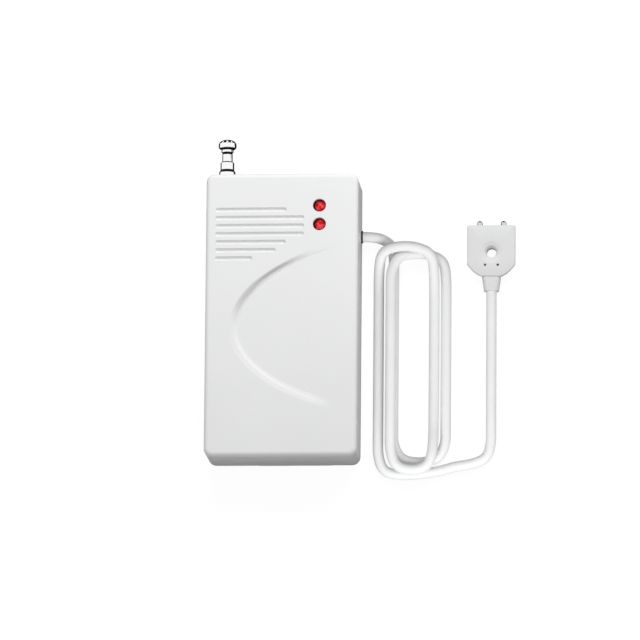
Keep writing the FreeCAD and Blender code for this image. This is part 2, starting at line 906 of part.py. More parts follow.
def antenna_section(start, end, radius, inner_radius, foot_radius):
    """One telescopic tube: foot collar outside, mouth rolled inwards to guide the next tube."""
    length = end - start
    shoulder = 0.35
    profile = [
        (0, foot_radius),
        (foot_collar_length, foot_radius),
        (foot_collar_length, radius),
        (length - shoulder, radius),
        (length, radius - shoulder),
    ]
    solid = turned(profile, (antenna_x, start, antenna_z), Y)
    bore = rod((antenna_x, start + tube_lip, antenna_z), Y, radius - tube_wall, length - 2 * tube_lip)
    mouth = rod((antenna_x, end - 2 * tube_lip, antenna_z), Y, inner_radius + tube_clearance, 3 * tube_lip)
    return solid.cut([bore, mouth])


def antenna_outer_tube():
    """Fixed tube, from its foot on the board out through the bush."""
    return antenna_section(outer_tube_start, outer_tube_end, outer_tube_radius, middle_tube_radius, outer_tube_radius)


def antenna_middle_tube():
    """First sliding tube."""
    start = outer_tube_start + tube_step
    return antenna_section(start, middle_tube_end, middle_tube_radius, inner_tube_radius, outer_bore - tube_clearance)


def antenna_inner_tube():
    """Second sliding tube, hidden in the first when stowed."""
    start = outer_tube_start + 2 * tube_step
    return antenna_section(start, middle_tube_end, inner_tube_radius, tip_rod_radius, middle_bore - tube_clearance)


def antenna_tip():
    """Innermost rod with its collar and mushroom knob."""
    start = outer_tube_start + 3 * tube_step
    collar = middle_tube_end + fit_gap - start
    knob = collar + collar_length
    end = knob + knob_length
    profile = [
        (0, inner_bore - tube_clearance),
        (foot_collar_length, inner_bore - tube_clearance),
        (foot_collar_length, tip_rod_radius),
        (collar, tip_rod_radius),
        (collar, collar_radius - 0.3),
        (collar + 0.3, collar_radius),
        (knob - 0.4, collar_radius),
        (knob - 0.1, 0.72 * collar_radius),
        (knob, 0.72 * collar_radius),
        (knob + 0.1, 0.86 * knob_radius),
        (knob + 0.55, 0.97 * knob_radius),
        (knob + 1.2, knob_radius),
        (end - 1.6, 0.97 * knob_radius),
        (end - 0.8, 0.83 * knob_radius),
        (end - 0.25, 0.55 * knob_radius),
        (end, 0.2 * knob_radius),
    ]
    return turned(profile, (antenna_x, start, antenna_z), Y)


def antenna_foot():
    """Block on the board that grips the outer tube's lower end."""
    half, start = antenna_foot_width / 2, outer_tube_start + 1.0
    low = (antenna_x - half, start, board_top)
    high = (antenna_x + half, start + antenna_foot_length, board_top + antenna_foot_height)
    bore = rod((antenna_x, start - 1, antenna_z), Y, outer_tube_radius + fit_gap / 2, antenna_foot_length + 2)
    return rounded_box(low, high, antenna_foot_corner, Y).cut(bore)


def cable_inner_end():
    """The cable's jacket inside the wall, up to where its wires part."""
    return rod((jacket_end, cable_y, parting_height), X, cable_radius, jacket_inside)


def lead_wires():
    """The cable's two wires, from the jacket's end to the terminal."""
    left_x, right_x = terminal_middle - pole_pitch / 2, terminal_middle + pole_pitch / 2
    left = [
        V(jacket_end, cable_y + 0.9, parting_height),
        V(jacket_end - 3.4, cable_y + 0.9, parting_height),
        V(left_x, cable_y - 5.0, board_top + 1.0),
        V(left_x, terminal_high + 4.0, terminal_entry),
        V(left_x, terminal_high, terminal_entry),
    ]
    right = [
        V(jacket_end, cable_y - 0.9, parting_height),
        V(jacket_end - 1.7, cable_y - 0.9, parting_height),
        V(jacket_end - 1.4, cable_y - 5.4, board_top + 0.8),
        V(right_x, terminal_high + 3.6, terminal_entry),
        V(right_x, terminal_high, terminal_entry),
    ]
    return Part.makeCompound([tube(left, conductor_radius), tube(right, conductor_radius)])


def probe_outline():
    """The probe's shield shape: straight sides, then a curve in to the cable's sleeve."""
    side, foot = probe_width / 2, probe_foot_width / 2
    shoulder_y = probe_low + probe_shoulder
    bend = V(0.5 * (side + foot) + 0.18 * (side - foot), probe_low + 0.38 * probe_shoulder, 0)
    top = probe_top
    r = probe_top_radius
    corner = r * (1 - math.sqrt(0.5))

    def mirrored(point):
        return V(-point.x, point.y, 0)

    right = [V(foot, probe_low, 0), bend, V(side, shoulder_y, 0)]
    upper = [V(side, top - r, 0), V(side - corner, top - corner, 0), V(side - r, top, 0)]
    edges = [
        Part.LineSegment(mirrored(right[0]), right[0]),
        Part.Arc(*right),
        Part.LineSegment(right[2], upper[0]),
        Part.Arc(*upper),
        Part.LineSegment(upper[2], mirrored(upper[2])),
        Part.Arc(*[mirrored(p) for p in reversed(upper)]),
        Part.LineSegment(mirrored(upper[0]), mirrored(right[2])),
        Part.Arc(*[mirrored(p) for p in reversed(right)]),
    ]
    return Part.Wire([edge.toShape() for edge in edges])


def probe_body():
    """Shield-shaped moulding with a screw hole and two small holes in its face."""
    body = Part.Face(probe_outline()).extrude(V(0, 0, probe_thickness))
    body.translate(V(probe_x, 0, 0))
    body = body.makeFillet(probe_edge_radius, edges_at_height(body, probe_thickness))
    top = probe_thickness
    cuts = [
        rod((probe_x, probe_hole_y, -1), Z, probe_hole_radius, top + 2),
        rod((probe_x, probe_hole_y, top - probe_dish_depth), Z, probe_dish_radius, 1),
        Part.makeCone(
            probe_hole_radius,
            countersink_radius,
            countersink_depth,
            V(probe_x, probe_hole_y, top - probe_dish_depth - countersink_depth),
            Z,
        ),
    ]
    for side in (-1, 1):
        x = probe_x + side * pinhole_offset
        cuts.append(rod((x, pinhole_y, top - pinhole_depth), Z, pinhole_radius, 3))
        pin_x = probe_x + side * pin_spacing / 2
        cuts.append(rod((pin_x, probe_top - pin_inside, probe_middle), Y, pin_radius + fit_gap / 2, pin_inside + 1))
    return body.cut(cuts)


def probe_pin(side):
    """Metal pin with a domed end that stands out of the probe's upper edge."""
    x = probe_x + side * pin_spacing / 2
    straight = pin_inside + pin_reach - pin_radius
    shank = rod((x, probe_top - pin_inside, probe_middle), Y, pin_radius, straight)
    dome = Part.makeSphere(pin_radius, V(x, probe_top - pin_inside + straight, probe_middle))
    return shank.fuse(dome).removeSplitter()


def probe_strain_relief():
    """Tapered sleeve between the probe and its cable."""
    def section(width, y):
        half, thick = width / 2, relief_sleeve_thickness / 2
        low, high = (probe_x - half, y, probe_middle - thick), (probe_x + half, y + 1, probe_middle + thick)
        flat = rounded_box(low, high, 0.8 * thick, Y)
        face = min(flat.Faces, key=lambda f: f.CenterOfMass.y)
        return face.OuterWire

    wires = [section(relief_sleeve_bottom, probe_low - relief_sleeve_length), section(relief_sleeve_top, probe_low)]
    return Part.makeLoft(wires, True, True)


def sampled(points, spacing=0.8):
    """Points along a cord's path, evenly spaced."""
    path = cord_path(points)
    return path.discretize(Number=int(path.Length / spacing))


def least_gap(points, diameter):
    """Smallest gap between stretches of one cord that lie more than five diameters apart along it."""
    line = sampled(points)
    step = line[0].distanceToPoint(line[1])
    skip = int(5 * diameter / step)
    least, place = 1e9, None
    for i, p in enumerate(line):
        for q in line[i + skip:]:
            gap = p.distanceToPoint(q) - diameter
            if gap < least:
                least, place = gap, (p, q)
    return least, place


pieces = {
    "front_cover": front_cover,
    "rear_cover": rear_cover,
    "battery_door": battery_door,
    "case_screws": case_screws,
    "board_screws": board_screws,
    "circuit_board": circuit_board,
    "upper_lamp": lambda: lamp(lamp_heights[0]),
    "lower_lamp": lambda: lamp(lamp_heights[1]),
    "lamp_leads": lamp_leads,
    "sounder": sounder,
    "radio_module": radio_module,
    "radio_can": radio_can,
    "controller_chip": controller_chip,
    "chip_legs": chip_legs,
    "large_capacitor": large_capacitor,
    "small_capacitor": small_capacitor,
    "jumper_block": jumper_block,
    "jumper_pins": jumper_pins,
    "aerial_coil": aerial_coil,
    "probe_terminal": probe_terminal,
    "battery_socket": battery_socket,
    "battery": battery,
    "battery_posts": battery_posts,
    "battery_snap": battery_snap,
    "battery_red_wire": lambda: battery_wire(1),
    "battery_black_wire": lambda: battery_wire(-1),
    "antenna_bush": antenna_bush,
    "antenna_foot": antenna_foot,
    "antenna_outer_tube": antenna_outer_tube,
    "antenna_middle_tube": antenna_middle_tube,
    "antenna_inner_tube": antenna_inner_tube,
    "antenna_tip": antenna_tip,
    "cable_inner_end": cable_inner_end,
    "lead_wires": lead_wires,
    "probe_cable_lead": lambda: tube(cable_route, cable_radius, 0, hank_first_run),
    "probe_cable_hank": lambda: tube(cable_route, cable_radius, hank_first_run, hank_last_run),
    "probe_cable_tail": lambda: tube(cable_route, cable_radius, hank_last_run),
    "probe_body": probe_body,
    "probe_strain_relief": probe_strain_relief,
    "probe_pin_left": lambda: probe_pin(-1),
    "probe_pin_right": lambda: probe_pin(1),
}

os.makedirs("parts", exist_ok=True)
made = {}
for name, make in pieces.items():
    shape = make()
    made[name] = shape
    print(f"{name}: {len(shape.Solids)} solid(s), {shape.Volume:.1f} mm3, valid {shape.isValid()}")
    shape.exportStep(f"parts/{name}.step")

cable_length = cord_path(cable_route).Length
cable_volume = sum(made[f"probe_cable_{stretch}"].Volume for stretch in ("lead", "hank", "tail"))
print("cable arc radii:", ", ".join(f"{radius:.1f}" for radius in cord_edges(cable_route)[2]))
print(f"cable length {cable_length:.1f} mm, volume {cable_volume:.1f} mm3,")
print(f"section times length {math.pi * cable_radius ** 2 * cable_length:.1f} mm3")
gap, place = least_gap(cable_route, 2 * cable_radius)
print(f"least gap of the cable to itself {gap:.2f} mm, between {place[0]} and {place[1]}")
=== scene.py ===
"""Looks for the wireless water level sensor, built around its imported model.

Every piece rides on a body of the frame, in metres and in the frame's own coordinates: the back of the
housing lies on z = 0, +Z is its front and +Y is the antenna's end. Named places and lengths are in
millimetres.
"""

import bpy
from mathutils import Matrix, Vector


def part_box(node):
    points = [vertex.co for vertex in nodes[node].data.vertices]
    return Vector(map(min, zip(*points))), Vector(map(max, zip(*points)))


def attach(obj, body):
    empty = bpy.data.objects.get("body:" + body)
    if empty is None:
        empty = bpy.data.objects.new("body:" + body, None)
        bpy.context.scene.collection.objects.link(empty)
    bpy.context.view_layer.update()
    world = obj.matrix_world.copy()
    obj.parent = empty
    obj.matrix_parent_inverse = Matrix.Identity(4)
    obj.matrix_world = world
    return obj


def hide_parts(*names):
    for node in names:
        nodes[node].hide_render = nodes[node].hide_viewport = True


bl_info = {
    "name": "Water level sensor looks",
    "version": (1, 0, 0),
    "blender": (4, 5, 0),
    "location": "3D View > Sidebar > Level sensor",
    "description": "Finishes the water level sensor: housing, lamps, antenna, cable, probe and board",
    "category": "Object",
}

import math

import bmesh
import bpy
from bpy.props import FloatProperty, FloatVectorProperty, IntProperty, PointerProperty
from mathutils import Matrix, Vector

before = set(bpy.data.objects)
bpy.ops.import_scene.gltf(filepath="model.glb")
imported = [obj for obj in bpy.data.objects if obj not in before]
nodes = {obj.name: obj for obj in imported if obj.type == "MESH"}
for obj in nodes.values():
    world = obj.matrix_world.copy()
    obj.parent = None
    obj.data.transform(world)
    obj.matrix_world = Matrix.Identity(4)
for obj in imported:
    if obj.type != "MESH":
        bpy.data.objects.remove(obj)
MM = 0.001

# A bare metal's sockets
METAL = {"Metallic": 1.0}

# Edges sharper than this many degrees stay sharp
SHARP_EDGE = 32.0

# A tenth of an inch between the board's pads, pins and legs
PIN_PITCH = 2.54

# The cable's control points: out of the wall, three loops, and the tail to the probe
CABLE_POINTS = [
    (29.25, 33.4, 4.8), (33.0, 33.4, 4.8), (37.4, 32.9, 3.0), (41.2, 30.4, 2.0), (41.8, 25.0, 2.0),
    (41.8, 19.7, 2.0), (41.8, -40.6, 2.0),
    (41.8, -47.6, 2.0), (45.0, -53.3, 2.0), (52.0, -54.6, 2.0), (59.0, -53.0, 2.0), (62.0, -47.4, 2.0),
    (62.0, -40.8, 2.0), (62.0, 8.6, 2.0),
    (62.0, 16.6, 2.0), (61.2, 24.2, 2.0), (55.4, 27.2, 2.2), (48.6, 26.8, 3.8), (43.7, 25.5, 6.5),
    (40.9, 19.6, 6.6), (40.9, 13.1, 6.6), (40.9, -43.2, 6.6),
    (40.9, -50.2, 6.6), (42.9, -56.4, 6.5), (49.2, -58.3, 6.4), (55.5, -56.6, 6.5), (57.5, -50.0, 6.5),
    (57.4, -36.0, 2.5), (57.4, 7.0, 2.0), (57.5, 19.0, 4.9), (56.8, 26.2, 7.6), (50.8, 28.8, 8.8),
    (43.4, 29.0, 9.2), (37.2, 27.2, 6.7), (36.0, 20.2, 3.3), (36.0, 9.0, 2.0), (36.0, -44.6, 2.0),
    (36.0, -51.8, 2.0), (38.2, -57.9, 2.0), (45.2, -59.4, 2.0), (59.0, -58.0, 2.0), (65.4, -55.9, 2.0),
    (72.6, -55.0, 2.0), (78.2, -52.4, 2.0), (79.5, -46.4, 2.0), (79.4, -39.6, 2.0),
    (79.4, -6.0, 2.0), (79.4, 3.0, 2.5), (79.4, 12.2, 2.5),
]
# How far the black ring round the cable, painted shadow for the dark gap in its hole, reaches into the wall
# from the cable's first point
SHADOW_RING_DEPTH = 1.35

# The relief line on the front: its ellipse's centre and half sizes, and its turn
RELIEF_CENTRE = (65.8, -3.7)
RELIEF_HALVES = (84.1, 36.7)
RELIEF_TURN = math.radians(1.25)

# How far the lamps stand off the middle of their holes, and how each is turned, in radians
LAMP_SHIFT = (0.2, 0.1)
LAMP_TURNS = [(0.0, 0.0, 0.5), (0.0, 0.0, 2.3)]

# Where shade between the antenna's sections is painted near black into the plating: from and to along Y
ANTENNA_PAINTED_SHADE = {
    "antenna_bush": [(57.5, 58.3)],
    "antenna_outer_tube": [(58.2, 58.7), (61.3, 61.8)],
    "antenna_middle_tube": [(61.6, 61.85), (64.6, 65.3)],
    "antenna_inner_tube": [(64.7, 65.3)],
    "antenna_tip": [(65.2, 65.55), (66.35, 67.2)],
}

# The probe: its hole's centre and radius, half its width, its end by the pins, and its face's height
PROBE_HOLE = (79.4, 27.2)
PROBE_HOLE_RADIUS = 1.92
PROBE_HALF_WIDTH = 9.3
PROBE_END = 37.8
PROBE_FACE = 5.0

# The screws: where their heads sit, and the sizes of their heads and shanks
SCREWS = {
    "case_screws": {
        "places": [(-14.2, 49.15, 2.6), (23.4, 49.15, 2.6), (-23.4, -49.15, 2.6), (23.4, -49.15, 2.6)],
        "head_radius": 2.6, "head_height": 1.8, "radius": 1.25, "length": 9.2,
    },
    "board_screws": {
        "places": [(-15.2, 42.59, 6.0), (22.4, 42.59, 6.0), (8.0, 9.45, 6.0), (-15.05, -38.45, 6.0)],
        "head_radius": 2.1, "head_height": 1.6, "radius": 1.0, "length": 7.0,
    },
}


def box_of(name):
    """A CAD node's lowest and highest corners, in millimetres."""
    return [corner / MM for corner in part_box(name)]


def foot_of(name, shift=(0.0, 0.0)):
    """The middle of a CAD node's lowest face in millimetres, shifted along the face."""
    low, high = box_of(name)
    return ((low.x + high.x) / 2 + shift[0], (low.y + high.y) / 2 + shift[1], low.z)


def dimmed(colour, share):
    """A colour brought down to a share of itself."""
    return [share * c for c in colour]


def opaque(colour):
    """A colour with full alpha."""
    return (*colour, 1.0)


# Node trees

def feed(tree, node, values):
    """Sets a node's inputs, or links them where the value is another node's output."""
    for name, value in values.items():
        if isinstance(value, bpy.types.NodeSocket):
            tree.links.new(value, node.inputs[name])
        else:
            node.inputs[name].default_value = value


def add(tree, kind, values=None, **settings):
    """Adds a node with its settings and its inputs' values or links."""
    node = tree.nodes.new(kind)
    for name, value in settings.items():
        setattr(node, name, value)
    feed(tree, node, values or {})
    return node


def calculated(tree, operation, *values):
    """The result of a Math node."""
    return add(tree, "ShaderNodeMath", dict(enumerate(values)), operation=operation).outputs[0]


def product(tree, first, *others):
    """Several values multiplied."""
    for other in others:
        first = calculated(tree, "MULTIPLY", first, other)
    return first


def greatest(tree, first, *others):
    """The greatest of several values."""
    for other in others:
        first = calculated(tree, "MAXIMUM", first, other)
    return first


def mapped(tree, value, start, end, first=0.0, last=1.0, kind="LINEAR"):
    """A value that goes from first to last as another goes from start to end."""
    values = {"Value": value, "From Min": start, "From Max": end, "To Min": first, "To Max": last}
    return add(tree, "ShaderNodeMapRange", values, interpolation_type=kind).outputs[0]


def ramp(tree, value, start, end, first=0.0, last=1.0):
    """A value that goes smoothly from first to last between two places in millimetres."""
    return mapped(tree, value, start * MM, end * MM, first, last, "SMOOTHSTEP")


def object_place(tree):
    """Object coordinates in metres."""
    return add(tree, "ShaderNodeTexCoord").outputs["Object"]


def axes_of(tree):
    """Object coordinates in metres, one by one."""
    return add(tree, "ShaderNodeSeparateXYZ", {0: object_place(tree)}).outputs


def stretched_place(tree, stretch, offset):
    """Object coordinates, stretched and shifted."""
    values = {"Vector": object_place(tree), "Scale": stretch, "Location": (offset,) * 3}
    return add(tree, "ShaderNodeMapping", values).outputs[0]


def noise(tree, scale, detail=2.0, stretch=(1.0, 1.0, 1.0), offset=0.0):
    """Noise on object coordinates, as many cells to the metre as its scale says."""
    values = {"Vector": stretched_place(tree, stretch, offset), "Scale": scale, "Detail": detail}
    return add(tree, "ShaderNodeTexNoise", values).outputs[0]


def between(tree, factor, low, high):
    """A value that goes from low to high over the range that noise mostly has."""
    return mapped(tree, factor, 0.3, 0.7, low, high)


def blend_colours(tree, factor, first, second):
    """Two colours, or links to colours, mixed by a factor. The Mix node has colours at sockets 6 and 7."""
    first, second = [c if isinstance(c, bpy.types.NodeSocket) else opaque(c) for c in (first, second)]
    return add(tree, "ShaderNodeMix", {0: factor, 6: first, 7: second}, data_type="RGBA").outputs[2]


def drifting(tree, scale, first, second, detail=3.0):
    """A colour that drifts between two as noise does."""
    return blend_colours(tree, between(tree, noise(tree, scale, detail), 0.0, 1.0), first, second)


def seen_and_lit(tree, lighting, seen, output):
    """Ends a tree in one shader for light and another for the camera, gloss and clear pieces to see."""
    path = add(tree, "ShaderNodeLightPath").outputs
    direct = greatest(tree, path["Is Camera Ray"], path["Is Glossy Ray"], path["Is Transmission Ray"])
    mix = add(tree, "ShaderNodeMixShader", {0: direct, 1: lighting.outputs[0], 2: seen.outputs[0]})
    add(tree, output, {"Surface": mix.outputs[0]})


# Finishes

def plain_material(name, colour, roughness, sockets=None):
    """A material with its constants on the Principled shader's own sockets."""
    material = bpy.data.materials.new(name)
    material.use_nodes = True
    tree = material.node_tree
    shader = tree.nodes["Principled BSDF"]
    feed(tree, shader, {"Base Color": opaque(colour), "Roughness": roughness, **(sockets or {})})
    return material, tree, shader


def bump_surface(tree, shader, height, strength, distance):
    """Gives a shader a bump of a height, as deep as its distance says."""
    bump = add(tree, "ShaderNodeBump", {"Height": height, "Strength": strength, "Distance": distance * MM})
    feed(tree, shader, {"Normal": bump.outputs[0]})


def varied(name, first, second, roughness, grain=0.0, sockets=None, colour_scale=60.0, grain_scale=4000.0):
    """A material with a slight drift of colour, an uneven gloss and a fine grain."""
    material, tree, shader = plain_material(name, first, sum(roughness) / 2, sockets)
    gloss = between(tree, noise(tree, 300.0, 4.0, offset=0.3), *roughness)
    feed(tree, shader, {"Base Color": drifting(tree, colour_scale, first, second), "Roughness": gloss})
    if grain:
        bump_surface(tree, shader, noise(tree, grain_scale), grain, 0.02)
    return material


def finish(names, material):
    """Puts one finish on CAD nodes."""
    for name in names.split():
        mesh = nodes[name].data
        mesh.materials.clear()
        mesh.materials.append(material)


def board_material():
    """Green mask over copper lines, with tinned pads on a tenth of an inch."""
    material, tree, shader = plain_material("board_green", (0.01, 0.13, 0.04), 0.35)

    def patches(scale, offset, limit):
        return calculated(tree, "GREATER_THAN", noise(tree, scale, 0.0, offset=offset), limit)

    lines = []
    for scale, stretch, offset in ((210.0, (1.0, 0.35, 1.0), 0.0), (150.0, (0.3, 1.0, 1.0), 0.013)):
        brick = add(tree, "ShaderNodeTexBrick", {
            "Vector": stretched_place(tree, stretch, offset), "Scale": scale, "Mortar Size": 0.05,
            "Mortar Smooth": 0.1, "Brick Width": 0.9, "Row Height": 0.45})
        lines.append(product(tree, brick.outputs["Fac"], patches(90.0, offset + 0.1, 0.5)))
    traces = greatest(tree, *lines)
    grid = add(tree, "ShaderNodeTexVoronoi", {
        "Vector": object_place(tree), "Scale": 1.0 / (PIN_PITCH * MM), "Randomness": 0.0}).outputs[0]
    pads = product(tree, calculated(tree, "LESS_THAN", grid, 0.28), patches(120.0, 0.7, 0.56))
    green = drifting(tree, 400.0, (0.008, 0.11, 0.03), (0.012, 0.15, 0.045))
    lined = blend_colours(tree, traces, green, (0.03, 0.27, 0.09))
    feed(tree, shader, {"Base Color": blend_colours(tree, pads, lined, (0.6, 0.6, 0.57)), "Metallic": pads})
    bump_surface(tree, shader, greatest(tree, traces, pads), 0.4, 0.05)
    return material


def sleeve_material(size):
    """A capacitor's blue sleeve with a pale stripe, open on the bare can's top."""
    low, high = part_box(size + "_capacitor")
    radius = (high.y - low.y) / 2
    material, tree, shader = plain_material(size + "_sleeve", (0.01, 0.03, 0.22), 0.3)
    axes = axes_of(tree)
    across, along = [calculated(tree, "SUBTRACT", axes[i], (low[i] + high[i]) / 2) for i in range(2)]
    far = calculated(tree, "SQRT", calculated(tree, "ADD", product(tree, across, across),
                                              product(tree, along, along)))
    can = product(tree, calculated(tree, "GREATER_THAN", axes[2], high.z - 0.4 * MM),
                  calculated(tree, "LESS_THAN", far, 0.82 * radius))
    stripe = product(tree, calculated(tree, "LESS_THAN", calculated(tree, "ABSOLUTE", across), 0.3 * radius),
                     calculated(tree, "GREATER_THAN", along, 0.0))
    blue = drifting(tree, 200.0, (0.01, 0.03, 0.2), (0.013, 0.04, 0.26), 2.0)
    striped = blend_colours(tree, stripe, blue, (0.55, 0.56, 0.58))
    feed(tree, shader, {"Base Color": blend_colours(tree, can, striped, (0.7, 0.71, 0.72)), "Metallic": can,
                        "Roughness": between(tree, noise(tree, 500.0, 3.0, offset=0.2), 0.24, 0.36)})
    return material


def battery_material():
    """A plain printed wrap: graphite with a silver end and a thin line between."""
    silver_length, gap, half_line = 13.7 * MM, 2.0 * MM, 0.6 * MM
    silver_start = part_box("battery")[1].y - silver_length
    material, tree, shader = plain_material("battery_wrap", (0.03, 0.03, 0.035), 0.28)
    along = axes_of(tree)[1]
    silver = calculated(tree, "GREATER_THAN", along, silver_start)
    line = calculated(tree, "COMPARE", along, silver_start - gap, half_line)
    dark = drifting(tree, 150.0, (0.028, 0.03, 0.036), (0.045, 0.047, 0.055))
    printed = blend_colours(tree, greatest(tree, silver, line), dark, (0.5, 0.5, 0.5))
    feed(tree, shader, {"Base Color": printed, "Metallic": product(tree, silver, 0.8),
                        "Roughness": between(tree, noise(tree, 600.0, 3.0, offset=0.4), 0.22, 0.36)})
    return material


# Shapes, in millimetres until they are made a mesh

def skin(rings, closed=False, caps=False):
    """A surface through rings of points. A ring of one point is a pole."""
    shape = bmesh.new()
    made = [[shape.verts.new(point) for point in ring] for ring in rings]
    steps = max(len(ring) for ring in rings)
    pairs = list(zip(made, made[1:])) + ([(made[-1], made[0])] if closed else [])
    for low, high in pairs:
        for i in range(steps):
            j = (i + 1) % steps
            corners = [low[i % len(low)], low[j % len(low)], high[j % len(high)], high[i % len(high)]]
            corners = list(dict.fromkeys(corners))
            if len(corners) > 2:
                shape.faces.new(corners)
    if caps:
        shape.faces.new(made[0])
        shape.faces.new(made[-1])
    bmesh.ops.recalc_face_normals(shape, faces=shape.faces)
    return shape


def spoke(radius, turn, height):
    """A point around Z, at a share of a full turn."""
    return (radius * math.cos(2 * math.pi * turn), radius * math.sin(2 * math.pi * turn), height)


def circle(radius, height, steps=48):
    """Points of a circle around Z, or its centre where the radius is nothing."""
    if radius < 1e-6:
        return [(0.0, 0.0, height)]
    return [spoke(radius, i / steps, height) for i in range(steps)]


def turned(profile, steps=48, closed=False):
    """A profile of radii and heights turned about Z."""
    return skin([circle(radius, height, steps) for radius, height in profile], closed)


def rising(outline, sections):
    """A solid with one outline at several sizes and heights."""
    return skin([[(s * x, s * y, z) for x, y in outline] for s, z in sections], caps=True)


def block(low, high):
    """A box between two corners."""
    ring = [(low[0], low[1]), (high[0], low[1]), (high[0], high[1]), (low[0], high[1])]
    return rising(ring, [(1.0, low[2]), (1.0, high[2])])


def smooth(mesh, sharp=SHARP_EDGE):
    """Shades a mesh smooth, except at its sharp edges."""
    mesh.shade_smooth()
    mesh.set_sharp_from_angle(angle=math.radians(sharp))


def to_mesh(name, shapes, place=None, sharp=SHARP_EDGE):
    """Joins shapes into one mesh in metres, smooth except at sharp edges."""
    mesh = bpy.data.meshes.new(name)
    whole = bmesh.new()
    for shape in shapes:
        part = bpy.data.meshes.new("part")
        shape.to_mesh(part)
        shape.free()
        whole.from_mesh(part)
        bpy.data.meshes.remove(part)
    bmesh.ops.scale(whole, vec=(MM, MM, MM), verts=whole.verts)
    if place:
        bmesh.ops.transform(whole, matrix=place, verts=whole.verts)
    whole.to_mesh(mesh)
    whole.free()
    smooth(mesh, sharp)
    return mesh


def new_object(name, data):
    """An object in the scene."""
    made = bpy.data.objects.new(name, data)
    bpy.context.scene.collection.objects.link(made)
    return made


def add_piece(name, mesh, material=None, stands_for=()):
    """Puts a finished mesh on the housing and names what it stands for."""
    piece = new_object(name, mesh)
    if material:
        mesh.materials.clear()
        mesh.materials.append(material)
    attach(piece, "housing")
    if stands_for:
        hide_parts(*stands_for)


def evaluated(mesh, prepare):
    """The mesh that an object with this one has once prepare has put modifiers on it."""
    carrier = new_object("carrier", mesh)
    prepare(carrier)
    depsgraph = bpy.context.evaluated_depsgraph_get()
    result = bpy.data.meshes.new_from_object(carrier.evaluated_get(depsgraph))
    carrier.modifiers.clear()
    bpy.data.objects.remove(carrier)
    return result


def cut_away(mesh, cutter_mesh):
    """The mesh less the cutter."""
    cutter = new_object("cutter", cutter_mesh)

    def prepare(carrier):
        cut = carrier.modifiers.new("cut", "BOOLEAN")
        cut.operation = "DIFFERENCE"
        cut.solver = "EXACT"
        cut.object = cutter

    result = evaluated(mesh, prepare)
    bpy.data.objects.remove(cutter)
    smooth(result)
    return result


def new_tree(name, inputs):
    """A Geometry Nodes tree with named inputs."""
    tree = bpy.data.node_groups.new(name, "GeometryNodeTree")
    tree.interface.new_socket("Geometry", in_out="INPUT", socket_type="NodeSocketGeometry")
    tree.interface.new_socket("Geometry", in_out="OUTPUT", socket_type="NodeSocketGeometry")
    for label, kind in inputs.items():
        tree.interface.new_socket(label, in_out="INPUT", socket_type="NodeSocket" + kind)
    return tree, tree.nodes.new("NodeGroupInput").outputs, tree.nodes.new("NodeGroupOutput")


def finish_tree(tree, geometry, material, output):
    """Ends a tree in real geometry with its material."""
    real = add(tree, "GeometryNodeRealizeInstances", {"Geometry": geometry})
    done = add(tree, "GeometryNodeSetMaterial", {"Geometry": real.outputs[0], "Material": material})
    feed(tree, output, {"Geometry": done.outputs[0]})


def grown(mesh, tree, values):
    """The mesh that a tree makes from this one with these values for its named inputs."""
    def prepare(carrier):
        modifier = carrier.modifiers.new(tree.name, "NODES")
        modifier.node_group = tree
        for item in tree.interface.items_tree:
            if item.item_type == "SOCKET" and item.in_out == "INPUT" and item.name in values:
                modifier[item.identifier] = values[item.name]

    return evaluated(mesh, prepare)


def copies_tree():
    """Copies of a pattern on points, turned as the points say and a little by chance.

    Least and most are the numbers of the random node's sockets for plain numbers."""
    tree, given, output = new_tree("placed_copies", {
        "Pattern": "Object", "Loose turn": "Float", "Seed": "Int", "Material": "Material"})
    pattern = add(tree, "GeometryNodeObjectInfo", {"Object": given["Pattern"]}).outputs["Geometry"]
    turn = add(tree, "GeometryNodeInputNamedAttribute", {"Name": "turn"}, data_type="FLOAT_VECTOR")
    rotation = add(tree, "FunctionNodeEulerToRotation", {"Euler": turn.outputs[0]}).outputs[0]
    placed = add(tree, "GeometryNodeInstanceOnPoints", {"Points": given["Geometry"], "Instance": pattern,
                                                        "Rotation": rotation}).outputs[0]
    least, most = 2, 3
    chance = add(tree, "FunctionNodeRandomValue", {least: product(tree, given["Loose turn"], -1.0),
                                                   most: given["Loose turn"], "Seed": given["Seed"]},
                 data_type="FLOAT").outputs[1]
    about = add(tree, "ShaderNodeCombineXYZ", {"Z": chance}).outputs[0]
    loose = add(tree, "FunctionNodeEulerToRotation", {"Euler": about}).outputs[0]
    spun = add(tree, "GeometryNodeRotateInstances", {"Instances": placed, "Rotation": loose}).outputs[0]
    finish_tree(tree, spun, given["Material"], output)
    return tree


def copies(pattern_mesh, places, material, turns=None, loose_turn=0.0, seed=1):
    """One mesh with a copy of the pattern at every place."""
    points = bpy.data.meshes.new("places")
    points.from_pydata([[c * MM for c in place] for place in places], [], [])
    attribute = points.attributes.new("turn", "FLOAT_VECTOR", "POINT")
    for item, turn in zip(attribute.data, turns or [(0.0, 0.0, 0.0)] * len(places)):
        item.vector = turn
    pattern = new_object("pattern", pattern_mesh)
    tree = bpy.data.node_groups.get("placed_copies") or copies_tree()
    mesh = grown(points, tree, {"Pattern": pattern, "Loose turn": loose_turn, "Seed": seed,
                                "Material": material})
    bpy.data.objects.remove(pattern)
    return mesh


